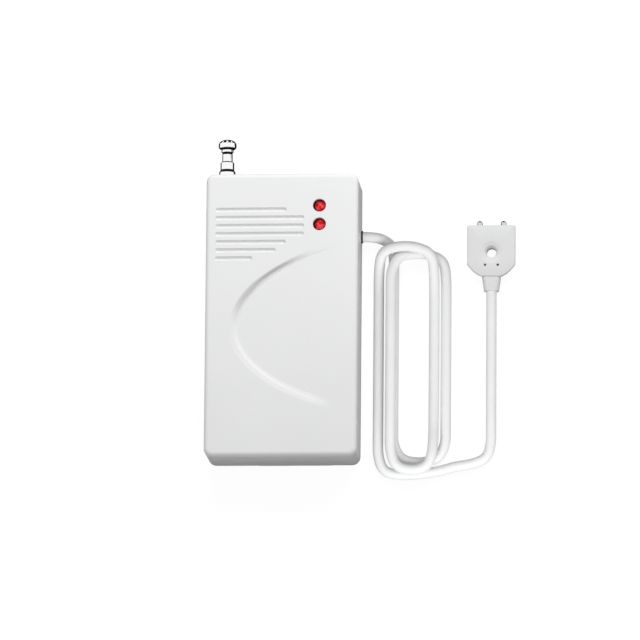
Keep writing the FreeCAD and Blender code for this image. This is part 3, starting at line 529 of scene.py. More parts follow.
def winding_tree():
    """A wire wound about Z."""
    tree, given, output = new_tree("winding", {
        "Turns": "Float", "Radius": "Float", "Length": "Float", "Wire radius": "Float",
        "Material": "Material"})
    line = add(tree, "GeometryNodeCurveSpiral", {
        "Resolution": 24, "Rotations": given["Turns"], "Start Radius": given["Radius"],
        "End Radius": given["Radius"], "Height": given["Length"]}).outputs[0]
    section = add(tree, "GeometryNodeCurvePrimitiveCircle", {
        "Resolution": 10, "Radius": given["Wire radius"]}, mode="RADIUS").outputs[0]
    wire = add(tree, "GeometryNodeCurveToMesh", {"Curve": line, "Profile Curve": section,
                                                 "Fill Caps": True}).outputs[0]
    both = add(tree, "GeometryNodeJoinGeometry")
    for geometry in (wire, given["Geometry"]):
        feed(tree, both, {0: geometry})
    finish_tree(tree, both.outputs[0], given["Material"], output)
    return tree


def screw_mesh(name, screw, settings):
    """A pan head screw with a cross recess. Its head rises to -Z from its seat and its thread runs to +Z."""
    head_radius, head_height, length = screw["head_radius"], screw["head_height"], screw["length"]
    steps, rows_a_turn, pitch = 24, 8, settings.thread_pitch
    depth = 0.16 * screw["radius"]
    root = screw["radius"] - depth
    head = [(0.0, -1.0), (0.5, -1.0), (0.72, -0.96), (0.87, -0.85), (0.96, -0.66), (1.0, -0.4), (1.0, -0.04),
            (0.97, 0.0)]
    rings = [circle(head_radius * r, head_height * h, steps) for r, h in head]
    rings.append(circle(root, 0.0, steps))
    rows = int(length / pitch * rows_a_turn)
    for row in range(1, rows):
        height = length * row / rows
        taper = min(1.0, 0.25 + 0.75 * (length - height) / (2.0 * pitch))
        ring = []
        for i in range(steps):
            phase = (height / pitch - i / steps) % 1.0
            crest = max(0.0, 1.0 - abs(phase - 0.5) / 0.3)
            ring.append(spoke((root + depth * crest) * taper, i / steps, height))
        rings.append(ring)
    rings.append(circle(0.0, length))
    body = to_mesh(name, [skin(rings)])
    arm, half = settings.recess_width * head_radius, 0.13 * head_radius
    cross = [(arm, -half), (arm, half), (half, half), (half, arm), (-half, arm), (-half, half), (-arm, half),
             (-arm, -half), (-half, -half), (-half, -arm), (half, -arm), (half, -half)]
    top, floor = -head_height - 0.2, -0.35 * head_height
    cutter = skin([[(1.1 * x, 1.1 * y, top) for x, y in cross],
                   [(0.55 * x, 0.7 * y, floor) for x, y in cross]], caps=True)
    return cut_away(body, to_mesh("recess", [cutter]))


# Settings

def colour_setting(name, description, default):
    """A colour that a user can change."""
    return FloatVectorProperty(name=name, description=description, default=default, subtype="COLOR", min=0.0,
                               max=1.0)


def number_setting(name, description, default, least=0.0, **more):
    """A number that a user can change."""
    return FloatProperty(name=name, description=description, default=default, min=least, **more)


class StudioSettings(bpy.types.PropertyGroup):
    """Camera, lights and floor."""
    aim: FloatVectorProperty(name="Aim", description="Point at the middle of the picture, in millimetres",
                             default=(13.15, 1.92, 0.0), subtype="XYZ")
    view_from: FloatVectorProperty(name="View from", description="Direction from the object to the camera",
                                   default=(0.0782, -0.1848, 0.9797), subtype="DIRECTION")
    roll: FloatProperty(name="Roll", description="Turn of the camera about its own axis",
                        default=math.radians(0.48), subtype="ANGLE")
    frame_width: number_setting("Frame width", "Width seen at the aim, in millimetres", 246.6, 50.0)
    lens: number_setting("Lens", "Focal length of the camera", 400.0, 1.0, unit="CAMERA")
    key_power: number_setting("Key light", "Power of each of the two large lights", 1.62, unit="POWER")
    fill_strength: number_setting("Fill", "Strength of the room's even light", 0.53)
    floor_colour: colour_setting("Floor", "Colour of the floor", (0.86, 0.86, 0.86))


class FinishSettings(bpy.types.PropertyGroup):
    """Colours of the sensor's finishes."""
    housing: colour_setting("Housing", "Moulded white of the housing", (0.875, 0.877, 0.88))
    cable: colour_setting("Cable", "White of the cable's jacket", (0.9, 0.902, 0.905))
    probe: colour_setting("Probe", "White of the probe", (0.74, 0.742, 0.745))
    lamp: colour_setting("Lamps", "Red of the lamps", (0.95, 0.012, 0.016))
    chrome: colour_setting("Chrome", "Colour of the antenna's plating", (0.96, 0.965, 0.97))


class CableSettings(bpy.types.PropertyGroup):
    """The probe's cable."""
    diameter: number_setting("Diameter", "Diameter of the cable's jacket, in millimetres", 4.0, 0.5)
    length: number_setting("Length", "Length of the cable outside the housing, in millimetres", 595.0, 10.0)


class DetailSettings(bpy.types.PropertyGroup):
    """Small parts."""
    thread_pitch: number_setting("Thread pitch", "Pitch of the screws' thread, in millimetres", 0.9, 0.2)
    recess_width: number_setting("Recess", "Reach of the screws' cross as a share of the head", 0.62, 0.1,
                                 max=0.9)
    coil_turns: IntProperty(name="Coil turns", description="Turns of the aerial coil", default=13, min=1)
    coil_wire: number_setting("Coil wire", "Radius of the coil's wire, in millimetres", 0.27, 0.05)
    probe_dish: number_setting("Probe dish", "Depth of the dish around the hole, in millimetres", 0.2)
    seed: IntProperty(name="Seed", description="Seed for how far each screw is turned", default=7)


# Pieces

class LEVELSENSOR_OT_stage(bpy.types.Operator):
    """Make the floor, the room, the lights, the dark cards and the camera"""
    bl_idname = "level_sensor.stage"
    bl_label = "Stage"

    def execute(self, context):
        studio = context.scene.level_sensor_studio
        self.floor(studio)
        self.room(studio)
        self.lights(studio)
        self.cards()
        self.camera(studio)
        context.scene.view_settings.view_transform = "Standard"
        return {"FINISHED"}

    def floor(self, studio):
        """A pale plane, 6 m wide, that the camera and gloss see as white, with the object's shadow on it."""
        half, drop = 3.0, 0.1 * MM
        mesh = bpy.data.meshes.new("floor")
        corners = [(-half, -half), (half, -half), (half, half), (-half, half)]
        mesh.from_pydata([(x, y, -drop) for x, y in corners], [], [(0, 1, 2, 3)])
        material = bpy.data.materials.new("floor_white")
        material.use_nodes = True
        tree = material.node_tree
        tree.nodes.clear()
        bounce, shadowed = [
            add(tree, "ShaderNodeBsdfDiffuse", {"Color": opaque(dimmed(studio.floor_colour, share))})
            for share in (0.3, 0.15)]
        glow = add(tree, "ShaderNodeEmission", {"Strength": 0.92})
        white = add(tree, "ShaderNodeAddShader", {0: shadowed.outputs[0], 1: glow.outputs[0]})
        seen_and_lit(tree, bounce, white, "ShaderNodeOutputMaterial")
        mesh.materials.append(material)
        floor = new_object("floor", mesh)

    def room(self, studio):
        """An even room: white to the camera and to gloss, dimmer as a light."""
        world = bpy.data.worlds.new("room")
        world.use_nodes = True
        tree = world.node_tree
        tree.nodes.clear()
        dim, white = [
            add(tree, "ShaderNodeBackground", {"Color": (1.0, 1.0, 1.0, 1.0), "Strength": strength})
            for strength in (studio.fill_strength, 1.0)]
        seen_and_lit(tree, dim, white, "ShaderNodeOutputWorld")
        bpy.context.scene.world = world

    def lights(self, studio):
        """Two large soft lights, in metres: one over the antenna's end, and one over the other end."""
        aim = Vector((0.03, 0.0, 0.0))
        for name, side in (("key", 1), ("cable_key", -1)):
            light = bpy.data.lights.new(name, "AREA")
            light.shape = "RECTANGLE"
            light.size = 0.5
            light.size_y = 0.3
            light.energy = studio.key_power
            lamp = new_object(name, light)
            lamp.location = (0.10, side * 0.34, 0.34)
            lamp.rotation_euler = (aim - lamp.location).to_track_quat("-Z", "Y").to_euler()
            lamp.visible_glossy = False

    def cards(self):
        """Dark cards that only gloss sees: flat by the walls, probe and antenna, and upright beyond them."""
        black = plain_material("card_black", (0.01, 0.01, 0.01), 1.0, {"Specular IOR Level": 0.0})[0]
        lift = 0.3
        corners = []
        for x0, y0, x1, y1 in ((-34, -61, 40, 60), (68, 24, 91, 90), (-64, 57, 20, 430)):
            corners += [(x0, y0, lift), (x1, y0, lift), (x1, y1, lift), (x0, y1, lift)]
        for x0, x1, y, top in ((55, 105, 90, 34), (-300, 300, 450, 110)):
            corners += [(x0, y, 0), (x1, y, 0), (x1, y, top), (x0, y, top)]
        mesh = bpy.data.meshes.new("dark_cards")
        mesh.from_pydata([[c * MM for c in corner] for corner in corners], [],
                         [tuple(range(i, i + 4)) for i in range(0, len(corners), 4)])
        mesh.materials.append(black)
        cards = new_object("dark_cards", mesh)
        for ray in ("camera", "diffuse", "transmission", "volume_scatter", "shadow"):
            setattr(cards, "visible_" + ray, False)

    def camera(self, studio):
        """A long lens at the photograph's angle, with the antenna's end up."""
        data = bpy.data.cameras.new("camera")
        data.lens = studio.lens
        data.sensor_width = 36.0
        data.clip_end = 100.0
        back = Vector(studio.view_from).normalized()
        up = (Vector((0, 1, 0)) - back * back.y).normalized()
        turn = Matrix((up.cross(back), up, back)).transposed() @ Matrix.Rotation(studio.roll, 3, "Z")
        distance = studio.frame_width * MM * studio.lens / data.sensor_width
        camera = new_object("camera", data)
        place = Vector(studio.aim) * MM + back * distance
        camera.matrix_world = Matrix.Translation(place) @ turn.to_4x4()
        bpy.context.scene.camera = camera


class LEVELSENSOR_OT_cable(bpy.types.Operator):
    """Lay the probe's cable in its three loops"""
    bl_idname = "level_sensor.cable"
    bl_label = "Cable"

    def execute(self, context):
        settings, colour = context.scene.level_sensor_cable, context.scene.level_sensor_finishes.cable
        cable = new_object("probe_cable", self.line(settings.diameter / 2 * MM))
        jacket = varied("cable_jacket", colour, dimmed(colour, 0.965), (0.34, 0.46), 0.1,
                        {"Coat Weight": 0.08}, colour_scale=90.0, grain_scale=1500.0)
        cable.data.materials.append(jacket)
        finish("cable_inner_end", jacket)
        self.choose_light(cable)
        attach(cable, "housing")
        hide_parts("probe_cable_lead", "probe_cable_hank", "probe_cable_tail")
        probe = [bpy.data.objects["probe_moulding"]]
        probe += [nodes[n] for n in ("probe_strain_relief", "probe_pin_left", "probe_pin_right")]
        return {"FINISHED"}

    def line(self, radius):
        """A smooth round line through the cable's route."""
        curve = bpy.data.curves.new("probe_cable", "CURVE")
        curve.dimensions = "3D"
        spline = curve.splines.new("NURBS")
        spline.points.add(len(CABLE_POINTS) - 1)
        for point, place in zip(spline.points, CABLE_POINTS):
            point.co = (*(c * MM for c in place), 1.0)
        spline.order_u = 3
        spline.use_endpoint_u = True
        spline.resolution_u = 10
        curve.bevel_depth = radius
        curve.bevel_resolution = 7
        curve.use_fill_caps = True
        return curve

    def choose_light(self, cable):
        """Lights the cable from the end away from the antenna alone, so that its upper edges are dark."""
        for name, state in (("key", "EXCLUDE"), ("cable_key", "INCLUDE")):
            receivers = bpy.data.collections.new(name + "_receivers")
            receivers.objects.link(cable)
            receivers.collection_objects[0].light_linking.link_state = state
            bpy.data.objects[name].light_linking.receiver_collection = receivers


class LEVELSENSOR_OT_housing(bpy.types.Operator):
    """Finish the two covers and the battery door, and put a black ring in the cable's hole as painted shadow
    """
    bl_idname = "level_sensor.housing"
    bl_label = "Housing"

    def execute(self, context):
        colour = context.scene.level_sensor_finishes.housing
        front, back = [
            varied(name, colour, dimmed(colour, 0.97), (0.36, 0.46), 0.06, {"Specular IOR Level": 0.35},
                   colour_scale=25.0, grain_scale=5000.0)
            for name in ("moulded_front", "moulded_back")]
        self.soften_relief(front.node_tree)
        finish("front_cover", front)
        finish("rear_cover battery_door", back)
        # Painted shadow: a black ring round the cable, in the gap of its hole, stands for the shade in that
        # gap
        shadow_black = varied("seal_rubber", (0.012, 0.012, 0.012), (0.02, 0.02, 0.02), (0.5, 0.65), 0.1)
        ring = [(2.02, 0.0), (2.36, 0.0), (2.42, 0.06), (2.42, 1.9), (2.36, 2.0), (2.1, 2.04), (2.02, 1.96)]
        start = Vector(CABLE_POINTS[0]) - Vector((SHADOW_RING_DEPTH, 0.0, 0.0))
        along_x = Matrix.Translation(start * MM) @ Matrix.Rotation(math.pi / 2, 4, "Y")
        shadow_ring = to_mesh("cable_seal", [turned(ring, closed=True)], along_x)
        add_piece("cable_seal", shadow_ring, material=shadow_black)
        return {"FINISHED"}

    def soften_relief(self, tree):
        """Turns the relief's hard step into a soft one, narrow above, wide below and faint at its ends.

        Down is where its upper half passes into the lower one along Y."""
        shader = tree.nodes["Principled BSDF"]
        grain = shader.inputs["Normal"].links[0].from_socket
        x, y, z = axes_of(tree)
        outside = self.outside_relief(tree)
        down = (-4.0, -14.0)
        lower = ramp(tree, y, *down)
        upper_right = product(tree, ramp(tree, y, 0.0, 6.0), ramp(tree, x, -12.0, -5.0))
        face = ramp(tree, z, 21.4, 21.6)

        # The step itself is levelled where the soft one alone has to show
        beside = product(tree, ramp(tree, calculated(tree, "ABSOLUTE", outside), 2.0, 3.5, 1.0, 0.0),
                         ramp(tree, x, 19.0, 22.0, 1.0, 0.0))
        level = product(tree, greatest(tree, upper_right, lower), face, beside)
        levelled = add(tree, "ShaderNodeBump", {"Height": z, "Strength": level, "Distance": 1.0,
                                                "Normal": grain}, invert=True)

        # The soft step: its middle and width change from the upper half to the lower
        narrow = calculated(tree, "MULTIPLY_ADD", upper_right, 0.3, ramp(tree, y, *down, 1.0, 0.7))
        middle = ramp(tree, y, *down, 0.65 * MM, 0.1 * MM)
        step = ramp(tree, product(tree, calculated(tree, "SUBTRACT", outside, middle), narrow), -1.5, 1.3)
        upper_fade = product(tree, ramp(tree, x, -3.0, 16.0, 1.0, 0.0), ramp(tree, y, -6.0, 7.0, 0.2, 1.0))
        lower_fade = product(tree, ramp(tree, x, 8.0, 21.0, 1.0, 0.0), lower)
        strength = product(tree, greatest(tree, upper_fade, lower_fade), face)
        bump = add(tree, "ShaderNodeBump", {"Height": step, "Strength": strength, "Distance": 1.5 * MM,
                                            "Normal": levelled.outputs[0]})
        feed(tree, shader, {"Normal": bump.outputs[0]})

    def outside_relief(self, tree):
        """How far a point lies outside the relief's ellipse, in metres."""
        halves = [half * MM for half in RELIEF_HALVES]
        unit = add(tree, "ShaderNodeMapping", {
            "Vector": object_place(tree), "Location": [c * MM for c in (*RELIEF_CENTRE, 0.0)],
            "Rotation": (0.0, 0.0, RELIEF_TURN), "Scale": (*halves, 1.0)}, vector_type="TEXTURE").outputs[0]

        def length(weights):
            weighed = add(tree, "ShaderNodeVectorMath", {0: unit, 1: weights}, operation="MULTIPLY")
            found = add(tree, "ShaderNodeVectorMath", {0: weighed.outputs[0]}, operation="LENGTH")
            return found.outputs["Value"]

        far = length((1.0, 1.0, 0.0))
        steep = length((1.0 / halves[0], 1.0 / halves[1], 0.0))
        return calculated(tree, "DIVIDE", product(tree, calculated(tree, "SUBTRACT", far, 1.0), far), steep)


class LEVELSENSOR_OT_lamps(bpy.types.Operator):
    """Make the two red lamps, each a lens around its lead frame"""
    bl_idname = "level_sensor.lamps"
    bl_label = "Lamps"

    def execute(self, context):
        places = [foot_of(name, LAMP_SHIFT) for name in ("upper_lamp", "lower_lamp")]
        red = self.lens_material(context.scene.level_sensor_finishes.lamp)
        bright = varied("lamp_frame", (1.0, 0.8, 0.76), (0.95, 0.7, 0.66), (0.3, 0.4))
        glow = varied("lamp_base", (1.0, 0.06, 0.05), (0.95, 0.04, 0.04), (0.3, 0.5))
        lenses = copies(to_mesh("lamp_lens", [self.lens()]), places, red, LAMP_TURNS)
        add_piece("lamp_lenses", lenses, stands_for=("upper_lamp", "lower_lamp"))
        cores = copies(to_mesh("lamp_core", self.lead_frame(), sharp=10.0), places, bright, LAMP_TURNS)
        add_piece("lamp_cores", cores)
        bowl = [(0.0, 0.25), (1.9, 0.25), (2.0, 0.35), (2.0, 3.4), (1.85, 3.4), (1.7, 2.6), (0.0, 2.2)]
        bases = copies(to_mesh("lamp_base", [turned(bowl, 32)]), places, glow, LAMP_TURNS)
        add_piece("lamp_bases", bases)
        return {"FINISHED"}

    def lens_material(self, colour):
        """A deep uneven red with painted highlights: pale red streaks at the cells' edges, standing for
        reflections in the faceted lens.
        """
        material, tree, shader = plain_material("lamp_red", colour, 0.05, {
            "Transmission Weight": 0.12, "IOR": 1.5, "Specular IOR Level": 0.1})
        cells = add(tree, "ShaderNodeTexVoronoi", {"Vector": object_place(tree), "Scale": 680.0})
        shade = drifting(tree, 500.0, dimmed(colour, 0.85), dimmed(colour, 0.6), 2.0)
        # Painted highlights: pale red where the cells' edges are
        painted_glints = mapped(tree, cells.outputs["Distance"], 0.48, 0.6)
        feed(tree, shader, {"Base Color": blend_colours(tree, painted_glints, shade, (1.0, 0.09, 0.11))})
        bump_surface(tree, shader, cells.outputs["Distance"], 0.7, 0.35)
        return material

    def lens(self):
        """A round-topped lens with its foot's flange."""
        radius, shoulder, crown, steps = 2.3, 6.6, 2.0, 10
        angles = [i * math.pi / 2 / steps for i in range(steps)]
        dome = [(radius * math.cos(a), shoulder + crown * math.sin(a)) for a in angles]
        foot = [(0.0, 0.0), (2.6, 0.0), (2.7, 0.1), (2.7, 0.85), (2.6, 1.0), (radius, 1.05)]
        return turned(foot + dome + [(0.0, shoulder + crown)], 56)

    def lead_frame(self):
        """The reflector's cup, a post with its tab on one side, and a tab on the other."""
        cup = [(0.0, 4.9), (0.35, 4.9), (0.85, 5.6), (1.0, 5.6), (1.0, 4.4), (0.3, 3.6), (0.3, 0.3),
               (0.0, 0.3)]
        blocks = [((-1.5, -0.45, 0.3), (-1.1, 0.45, 4.2)), ((-1.5, -0.7, 4.2), (-0.9, 0.7, 5.4)),
                  ((0.9, -0.9, 3.2), (1.6, 0.3, 4.6))]
        return [turned(cup, 7), *(block(low, high) for low, high in blocks)]


class LEVELSENSOR_OT_antenna(bpy.types.Operator):
    """Plate the antenna"""
    bl_idname = "level_sensor.antenna"
    bl_label = "Antenna"

    def execute(self, context):
        colour = context.scene.level_sensor_finishes.chrome
        for name, creases in ANTENNA_PAINTED_SHADE.items():
            finish(name, self.plating(name, colour, creases))
        return {"FINISHED"}

    def plating(self, name, colour, creases):
        """Chrome with fine turning marks, and painted shade: near black and rougher in the creases between
        one section and the next.
        """
        material, tree, shader = plain_material(name + "_chrome", colour, 0.08, METAL)
        along = axes_of(tree)[1]
        masks = []
        for start, end in creases:
            middle, half = (start + end) / 2 * MM, (end - start) / 2 * MM
            off = calculated(tree, "ABSOLUTE", calculated(tree, "SUBTRACT", along, middle))
            masks.append(mapped(tree, off, 0.75 * half, 1.1 * half, 1.0, 0.0))
        # Painted shade: near black where one section meets the next
        mask = greatest(tree, *masks)
        plate = drifting(tree, 200.0, colour, dimmed(colour, 0.96))
        marks = between(tree, noise(tree, 900.0, 3.0, (0.1, 6.0, 0.1), 0.2), 0.03, 0.1)
        feed(tree, shader, {"Base Color": blend_colours(tree, mask, plate, (0.012, 0.012, 0.012)),
                            "Roughness": calculated(tree, "ADD", marks, product(tree, mask, 0.3))})
        return material


class LEVELSENSOR_OT_probe(bpy.types.Operator):
    """Mould the probe around its hole, and finish its sleeve and its pins"""
    bl_idname = "level_sensor.probe"
    bl_label = "Probe"

    def execute(self, context):
        colour = context.scene.level_sensor_finishes.probe
        dish = context.scene.level_sensor_details.probe_dish
        white = varied("probe_white", colour, dimmed(colour, 0.97), (0.38, 0.5), 0.08)
        add_piece("probe_moulding", self.moulding(dish), material=white,
                  stands_for=("probe_body",))
        finish("probe_strain_relief", white)
        steel = varied("pin_steel", (0.7, 0.7, 0.69), (0.6, 0.6, 0.59), (0.08, 0.16), sockets=METAL)
        finish("probe_pin_left probe_pin_right", steel)
        return {"FINISHED"}

    def moulding(self, dish):
        """The shield around its countersunk hole, with the pins' bores and two small holes cut in."""
        edge = self.outline()
        spokes = [(Vector(point) - Vector(PROBE_HOLE)).normalized() for point in edge]

        def around(radius, height):
            return [(*(Vector(PROBE_HOLE) + spoke * radius), height) for spoke in spokes]

        rings = [around(PROBE_HOLE_RADIUS, 0.0)]
        for inset, height in ((1.1, 0.0), (0.8, 0.12), (0.65, 0.45), (0.08, 4.0), (0.0, 4.4), (0.1, 4.7),
                              (0.3, 4.92), (0.6, PROBE_FACE)):
            rings.append([(*self.inward(edge, i, inset), height) for i in range(len(edge))])
        for radius, depth in ((4.4, 0.0), (4.1, 0.03), (3.7, dish), (2.75, dish), (2.6, dish + 0.08),
                              (1.98, dish + 0.9), (PROBE_HOLE_RADIUS, dish + 1.0)):
            rings.append(around(radius, PROBE_FACE - depth))
        shape = skin(rings, closed=True)
        bmesh.ops.remove_doubles(shape, verts=shape.verts, dist=0.001)
        moulded = cut_away(to_mesh("probe_moulding", [shape]), to_mesh("bores", self.bores()))
        middle = PROBE_HOLE[0]
        neck = to_mesh("neck", [block((middle - 3.3, 17.4, 0.5), (middle + 3.3, 20.0, 4.2))])
        whole = bmesh.new()
        for part in (moulded, neck):
            whole.from_mesh(part)
        whole.to_mesh(moulded)
        whole.free()
        return moulded

    def bores(self):
        """What is cut from the shield: two small holes in its face, and the pins' ways along Y."""
        cutters = []
        for x in (77.0, 81.9):
            hole = turned([(0.0, 2.6), (0.5, 2.6), (0.5, 6.0), (0.0, 6.0)], 16)
            bmesh.ops.translate(hole, vec=(x, 22.2, 0.0), verts=hole.verts)
            cutters.append(hole)
        start, end, radius = 32.4, 38.6, 1.14
        for pin in ("probe_pin_left", "probe_pin_right"):
            low, high = box_of(pin)
            x, z = (low.x + high.x) / 2, (low.z + high.z) / 2
            cutters.append(skin([[(x + across, y, z + up) for across, up, _ in circle(radius, 0.0, 24)]
                                 for y in (start, end)], caps=True))
        return cutters

    def outline(self):
        """Points of the shield around its hole: straight sides with small corners, and a curved foot."""
        half, end, foot = PROBE_HALF_WIDTH, PROBE_END, 17.6
        side = [(3.7, foot), (4.8, 18.1), (5.8, 18.68), (6.55, 19.25), (7.2, 19.8), (7.85, 20.5),
                (8.4, 21.15), (8.9, 21.75), (9.2, 22.15)]
        side += [(half, 22.6 + 1.45 * i) for i in range(11)]
        side += [(half - 0.08, end - 0.35), (half - 0.3, end - 0.1)]
        side += [(half - 0.7 - 1.4 * i, end) for i in range(6)]
        points = side + [(-x, y) for x, y in reversed(side)] + [(x, foot) for x in (-2.2, -0.8, 0.8, 2.2)]
        return [(PROBE_HOLE[0] + x, y) for x, y in points]

    def inward(self, edge, i, inset):
        """A point of the outline moved in, square to the outline, and no further out than the inset."""
        before, after = Vector(edge[i - 1]), Vector(edge[(i + 1) % len(edge)])
        along = (after - before).normalized()
        moved = Vector(edge[i]) + Vector((-along.y, along.x)) * inset
        middle, reach = PROBE_HOLE[0], PROBE_HALF_WIDTH - inset
        return (min(max(moved.x, middle - reach), middle + reach), min(moved.y, PROBE_END - inset))


class LEVELSENSOR_OT_board(bpy.types.Operator):
    """Finish the board and the parts that stand on it"""
    bl_idname = "level_sensor.board"
    bl_label = "Board"

    def execute(self, context):
        details = context.scene.level_sensor_details
        black = varied("black_plastic", (0.02, 0.02, 0.021), (0.03, 0.03, 0.03), (0.45, 0.6), 0.1)
        tin = varied("tin_plate", (0.62, 0.62, 0.6), (0.5, 0.5, 0.48), (0.22, 0.38), sockets=METAL)
        green = varied("terminal_green", (0.02, 0.3, 0.1), (0.02, 0.26, 0.08), (0.35, 0.5), 0.1)
        ivory = varied("nylon_ivory", (0.78, 0.73, 0.6), (0.74, 0.69, 0.55), (0.4, 0.55), 0.1)
        brass = varied("brass", (0.7, 0.5, 0.2), (0.6, 0.42, 0.16), (0.25, 0.4), sockets=METAL)
        finish("circuit_board radio_module", board_material())
        finish("sounder controller_chip jumper_block", black)
        finish("lamp_leads radio_can", tin)
        finish("probe_terminal", green)
        finish("battery_socket", ivory)
        finish("antenna_foot", brass)
        for size in ("large", "small"):
            finish(size + "_capacitor", sleeve_material(size))
        self.coil(details)
        self.legs(tin)
        self.pins(tin, black)
        return {"FINISHED"}

    def coil(self, details):
        """The aerial coil: a winding along Y with two short ends into the board."""
        low, high = box_of("aerial_coil")
        wire, clearance, margin = details.coil_wire, 0.02, 0.3
        radius = (high.z - low.z) / 2 - clearance - wire
        length = high.y - low.y - 2 * margin
        copper = varied("copper", (0.72, 0.3, 0.13), (0.6, 0.24, 0.1), (0.2, 0.3), sockets=METAL)
        reach = radius + 0.7
        section = circle(wire, 0.0, 10)
        ends = [skin([[(x, y, height + z) for y, z, _ in section] for x in (radius, reach)], caps=True)
                for height in (0.0, length)]
        mesh = grown(to_mesh("coil_ends", ends), winding_tree(), {
            "Turns": float(details.coil_turns), "Radius": radius * MM, "Length": length * MM,
            "Wire radius": wire * MM, "Material": copper})
        start = Vector(((low.x + high.x) / 2, low.y + margin, (low.z + high.z) / 2))
        axes = Matrix(((0, -1, 0), (0, 0, 1), (-1, 0, 0))).to_4x4()
        mesh.transform(Matrix.Translation(start * MM) @ axes)
        mesh.shade_smooth()
        add_piece("aerial_winding", mesh, stands_for=("aerial_coil",))

    def legs(self, tin):
        """The chip's bent legs, eight a side.

        Each row of the path has its upper edge, across and up, its lower edge, and half its width."""
        low, high = box_of("chip_legs")
        foot, shoulder = 0.25, 0.65
        path = [(0.85, 2.2, 0.85, 1.95, shoulder), (0.25, 2.2, 0.32, 1.95, shoulder),
                (0.07, 2.13, 0.26, 1.91, shoulder), (0.0, 1.95, 0.25, 1.83, shoulder),
                (0.0, 1.25, 0.25, 1.25, shoulder), (0.0, 1.0, 0.25, 1.0, foot), (0.0, 0.0, 0.25, 0.0, foot)]
        rings = [[(a, -w, b), (a, w, b), (c, w, d), (c, -w, d)] for a, b, c, d, w in path]
        places = [(x, low.y + foot + PIN_PITCH * i, low.z) for x in (low.x, high.x) for i in range(8)]
        turns = [(0.0, 0.0, turn) for turn in (0.0, math.pi) for _ in range(8)]
        mesh = copies(to_mesh("leg", [skin(rings, caps=True)]), places, tin, turns)
        add_piece("bent_legs", mesh, stands_for=("chip_legs",))

    def pins(self, tin, black):
        """The jumper block's square pins, and two caps that join pairs of them."""
        low, high = box_of("jumper_pins")
        half = 0.32
        square = [(1, 1), (-1, 1), (-1, -1), (1, -1)]
        pin = rising(square, [(half, 0.0), (half, 5.6), (0.14, 6.0)])
        rows = [low.y + half + PIN_PITCH * i for i in range(5)]
        places = [(low.x + half + PIN_PITCH * column, y, low.z) for column in range(2) for y in rows]
        add_piece("square_pins", copies(to_mesh("pin", [pin]), places, tin),
                  stands_for=("jumper_pins",))
        outline = [(2.4, 1.05), (2.25, 1.2), (-2.25, 1.2), (-2.4, 1.05), (-2.4, -1.05), (-2.25, -1.2),
                   (2.25, -1.2), (2.4, -1.05)]
        cap = rising(outline, [(0.96, 0.0), (1.0, 0.15), (1.0, 5.9), (0.94, 6.2)])
        gap = 0.2
        capped = [((low.x + high.x) / 2, rows[i], low.z + gap) for i in (1, 3)]
        add_piece("jumper_caps", copies(to_mesh("cap", [cap]), capped, black))


class LEVELSENSOR_OT_power(bpy.types.Operator):
    """Finish the battery, its snap and its wires"""
    bl_idname = "level_sensor.power"
    bl_label = "Battery and wires"

    def execute(self, context):
        posts = varied("post_plate", (0.66, 0.65, 0.62), (0.5, 0.49, 0.46), (0.2, 0.34), sockets=METAL)
        vinyl = varied("snap_vinyl", (0.018, 0.018, 0.02), (0.03, 0.03, 0.032), (0.4, 0.6), 0.2,
                       grain_scale=1800.0)
        red = varied("wire_red", (0.55, 0.01, 0.01), (0.5, 0.01, 0.01), (0.35, 0.45))
        black = varied("wire_black", (0.015, 0.015, 0.015), (0.02, 0.02, 0.02), (0.35, 0.45))
        finish("battery", battery_material())
        finish("battery_posts", posts)
        finish("battery_snap", vinyl)
        finish("battery_red_wire lead_wires", red)
        finish("battery_black_wire", black)
        return {"FINISHED"}


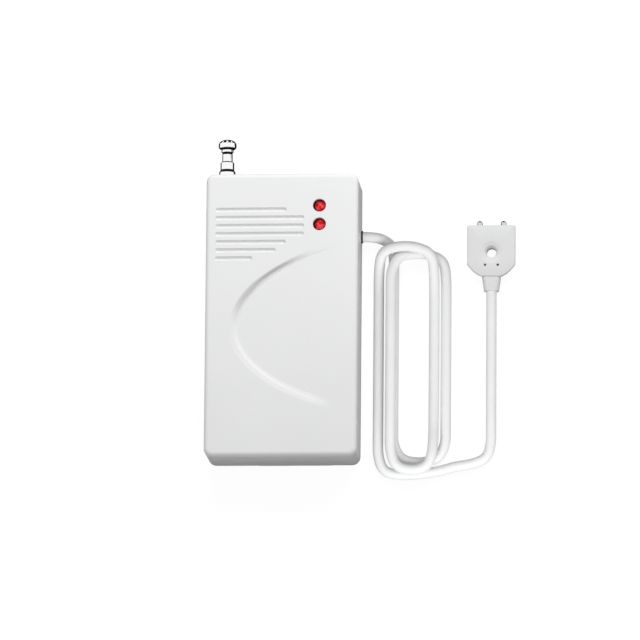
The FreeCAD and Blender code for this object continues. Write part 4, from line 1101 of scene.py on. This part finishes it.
class LEVELSENSOR_OT_screws(bpy.types.Operator):
    """Make the case's and the board's screws"""
    bl_idname = "level_sensor.screws"
    bl_label = "Screws"

    def execute(self, context):
        details = context.scene.level_sensor_details
        zinc = varied("screw_zinc", (0.6, 0.6, 0.58), (0.46, 0.46, 0.44), (0.22, 0.38), 0.05, METAL,
                      grain_scale=3000.0)
        for i, (node, screw) in enumerate(SCREWS.items()):
            name = "cross_" + node
            mesh = copies(screw_mesh(name, screw, details), screw["places"], zinc, loose_turn=math.pi / 4,
                          seed=details.seed + i)
            add_piece(name, mesh, stands_for=(node,))
        return {"FINISHED"}


class LEVELSENSOR_PT_panel(bpy.types.Panel):
    """Sidebar panel with the settings and one button for each piece"""
    bl_label = "Level sensor"
    bl_idname = "LEVELSENSOR_PT_panel"
    bl_space_type = "VIEW_3D"
    bl_region_type = "UI"
    bl_category = "Level sensor"

    def draw(self, context):
        for settings, names in PANEL_ROWS.items():
            group = getattr(context.scene, settings)
            box = self.layout.box()
            for name in names:
                box.prop(group, name)
        for operator in MAKERS:
            self.layout.operator(operator.bl_idname)


MAKERS = (LEVELSENSOR_OT_stage, LEVELSENSOR_OT_probe, LEVELSENSOR_OT_cable, LEVELSENSOR_OT_housing,
          LEVELSENSOR_OT_lamps, LEVELSENSOR_OT_antenna, LEVELSENSOR_OT_board, LEVELSENSOR_OT_power,
          LEVELSENSOR_OT_screws)
SETTINGS = {
    "level_sensor_studio": StudioSettings,
    "level_sensor_finishes": FinishSettings,
    "level_sensor_cable": CableSettings,
    "level_sensor_details": DetailSettings,
}
PANEL_ROWS = {name: list(group.__annotations__) for name, group in SETTINGS.items()}


def register():
    """Registers the settings, the operators and the panel."""
    for group in (*SETTINGS.values(), *MAKERS, LEVELSENSOR_PT_panel):
        bpy.utils.register_class(group)
    for name, group in SETTINGS.items():
        setattr(bpy.types.Scene, name, PointerProperty(type=group))


def unregister():
    """Takes back what register did."""
    for name in SETTINGS:
        delattr(bpy.types.Scene, name)
    for group in (LEVELSENSOR_PT_panel, *reversed(MAKERS), *reversed(list(SETTINGS.values()))):
        bpy.utils.unregister_class(group)


def corners(bounds):
    """A box's corners as plain numbers."""
    return [list(corner) for corner in bounds]


def main():
    """Makes every piece in order."""
    register()
    bpy.context.view_layer.update()
    for maker in MAKERS:
        group, name = maker.bl_idname.split(".")
        getattr(getattr(bpy.ops, group), name)()
    bpy.context.view_layer.update()


if __name__ == "__main__":
    main()
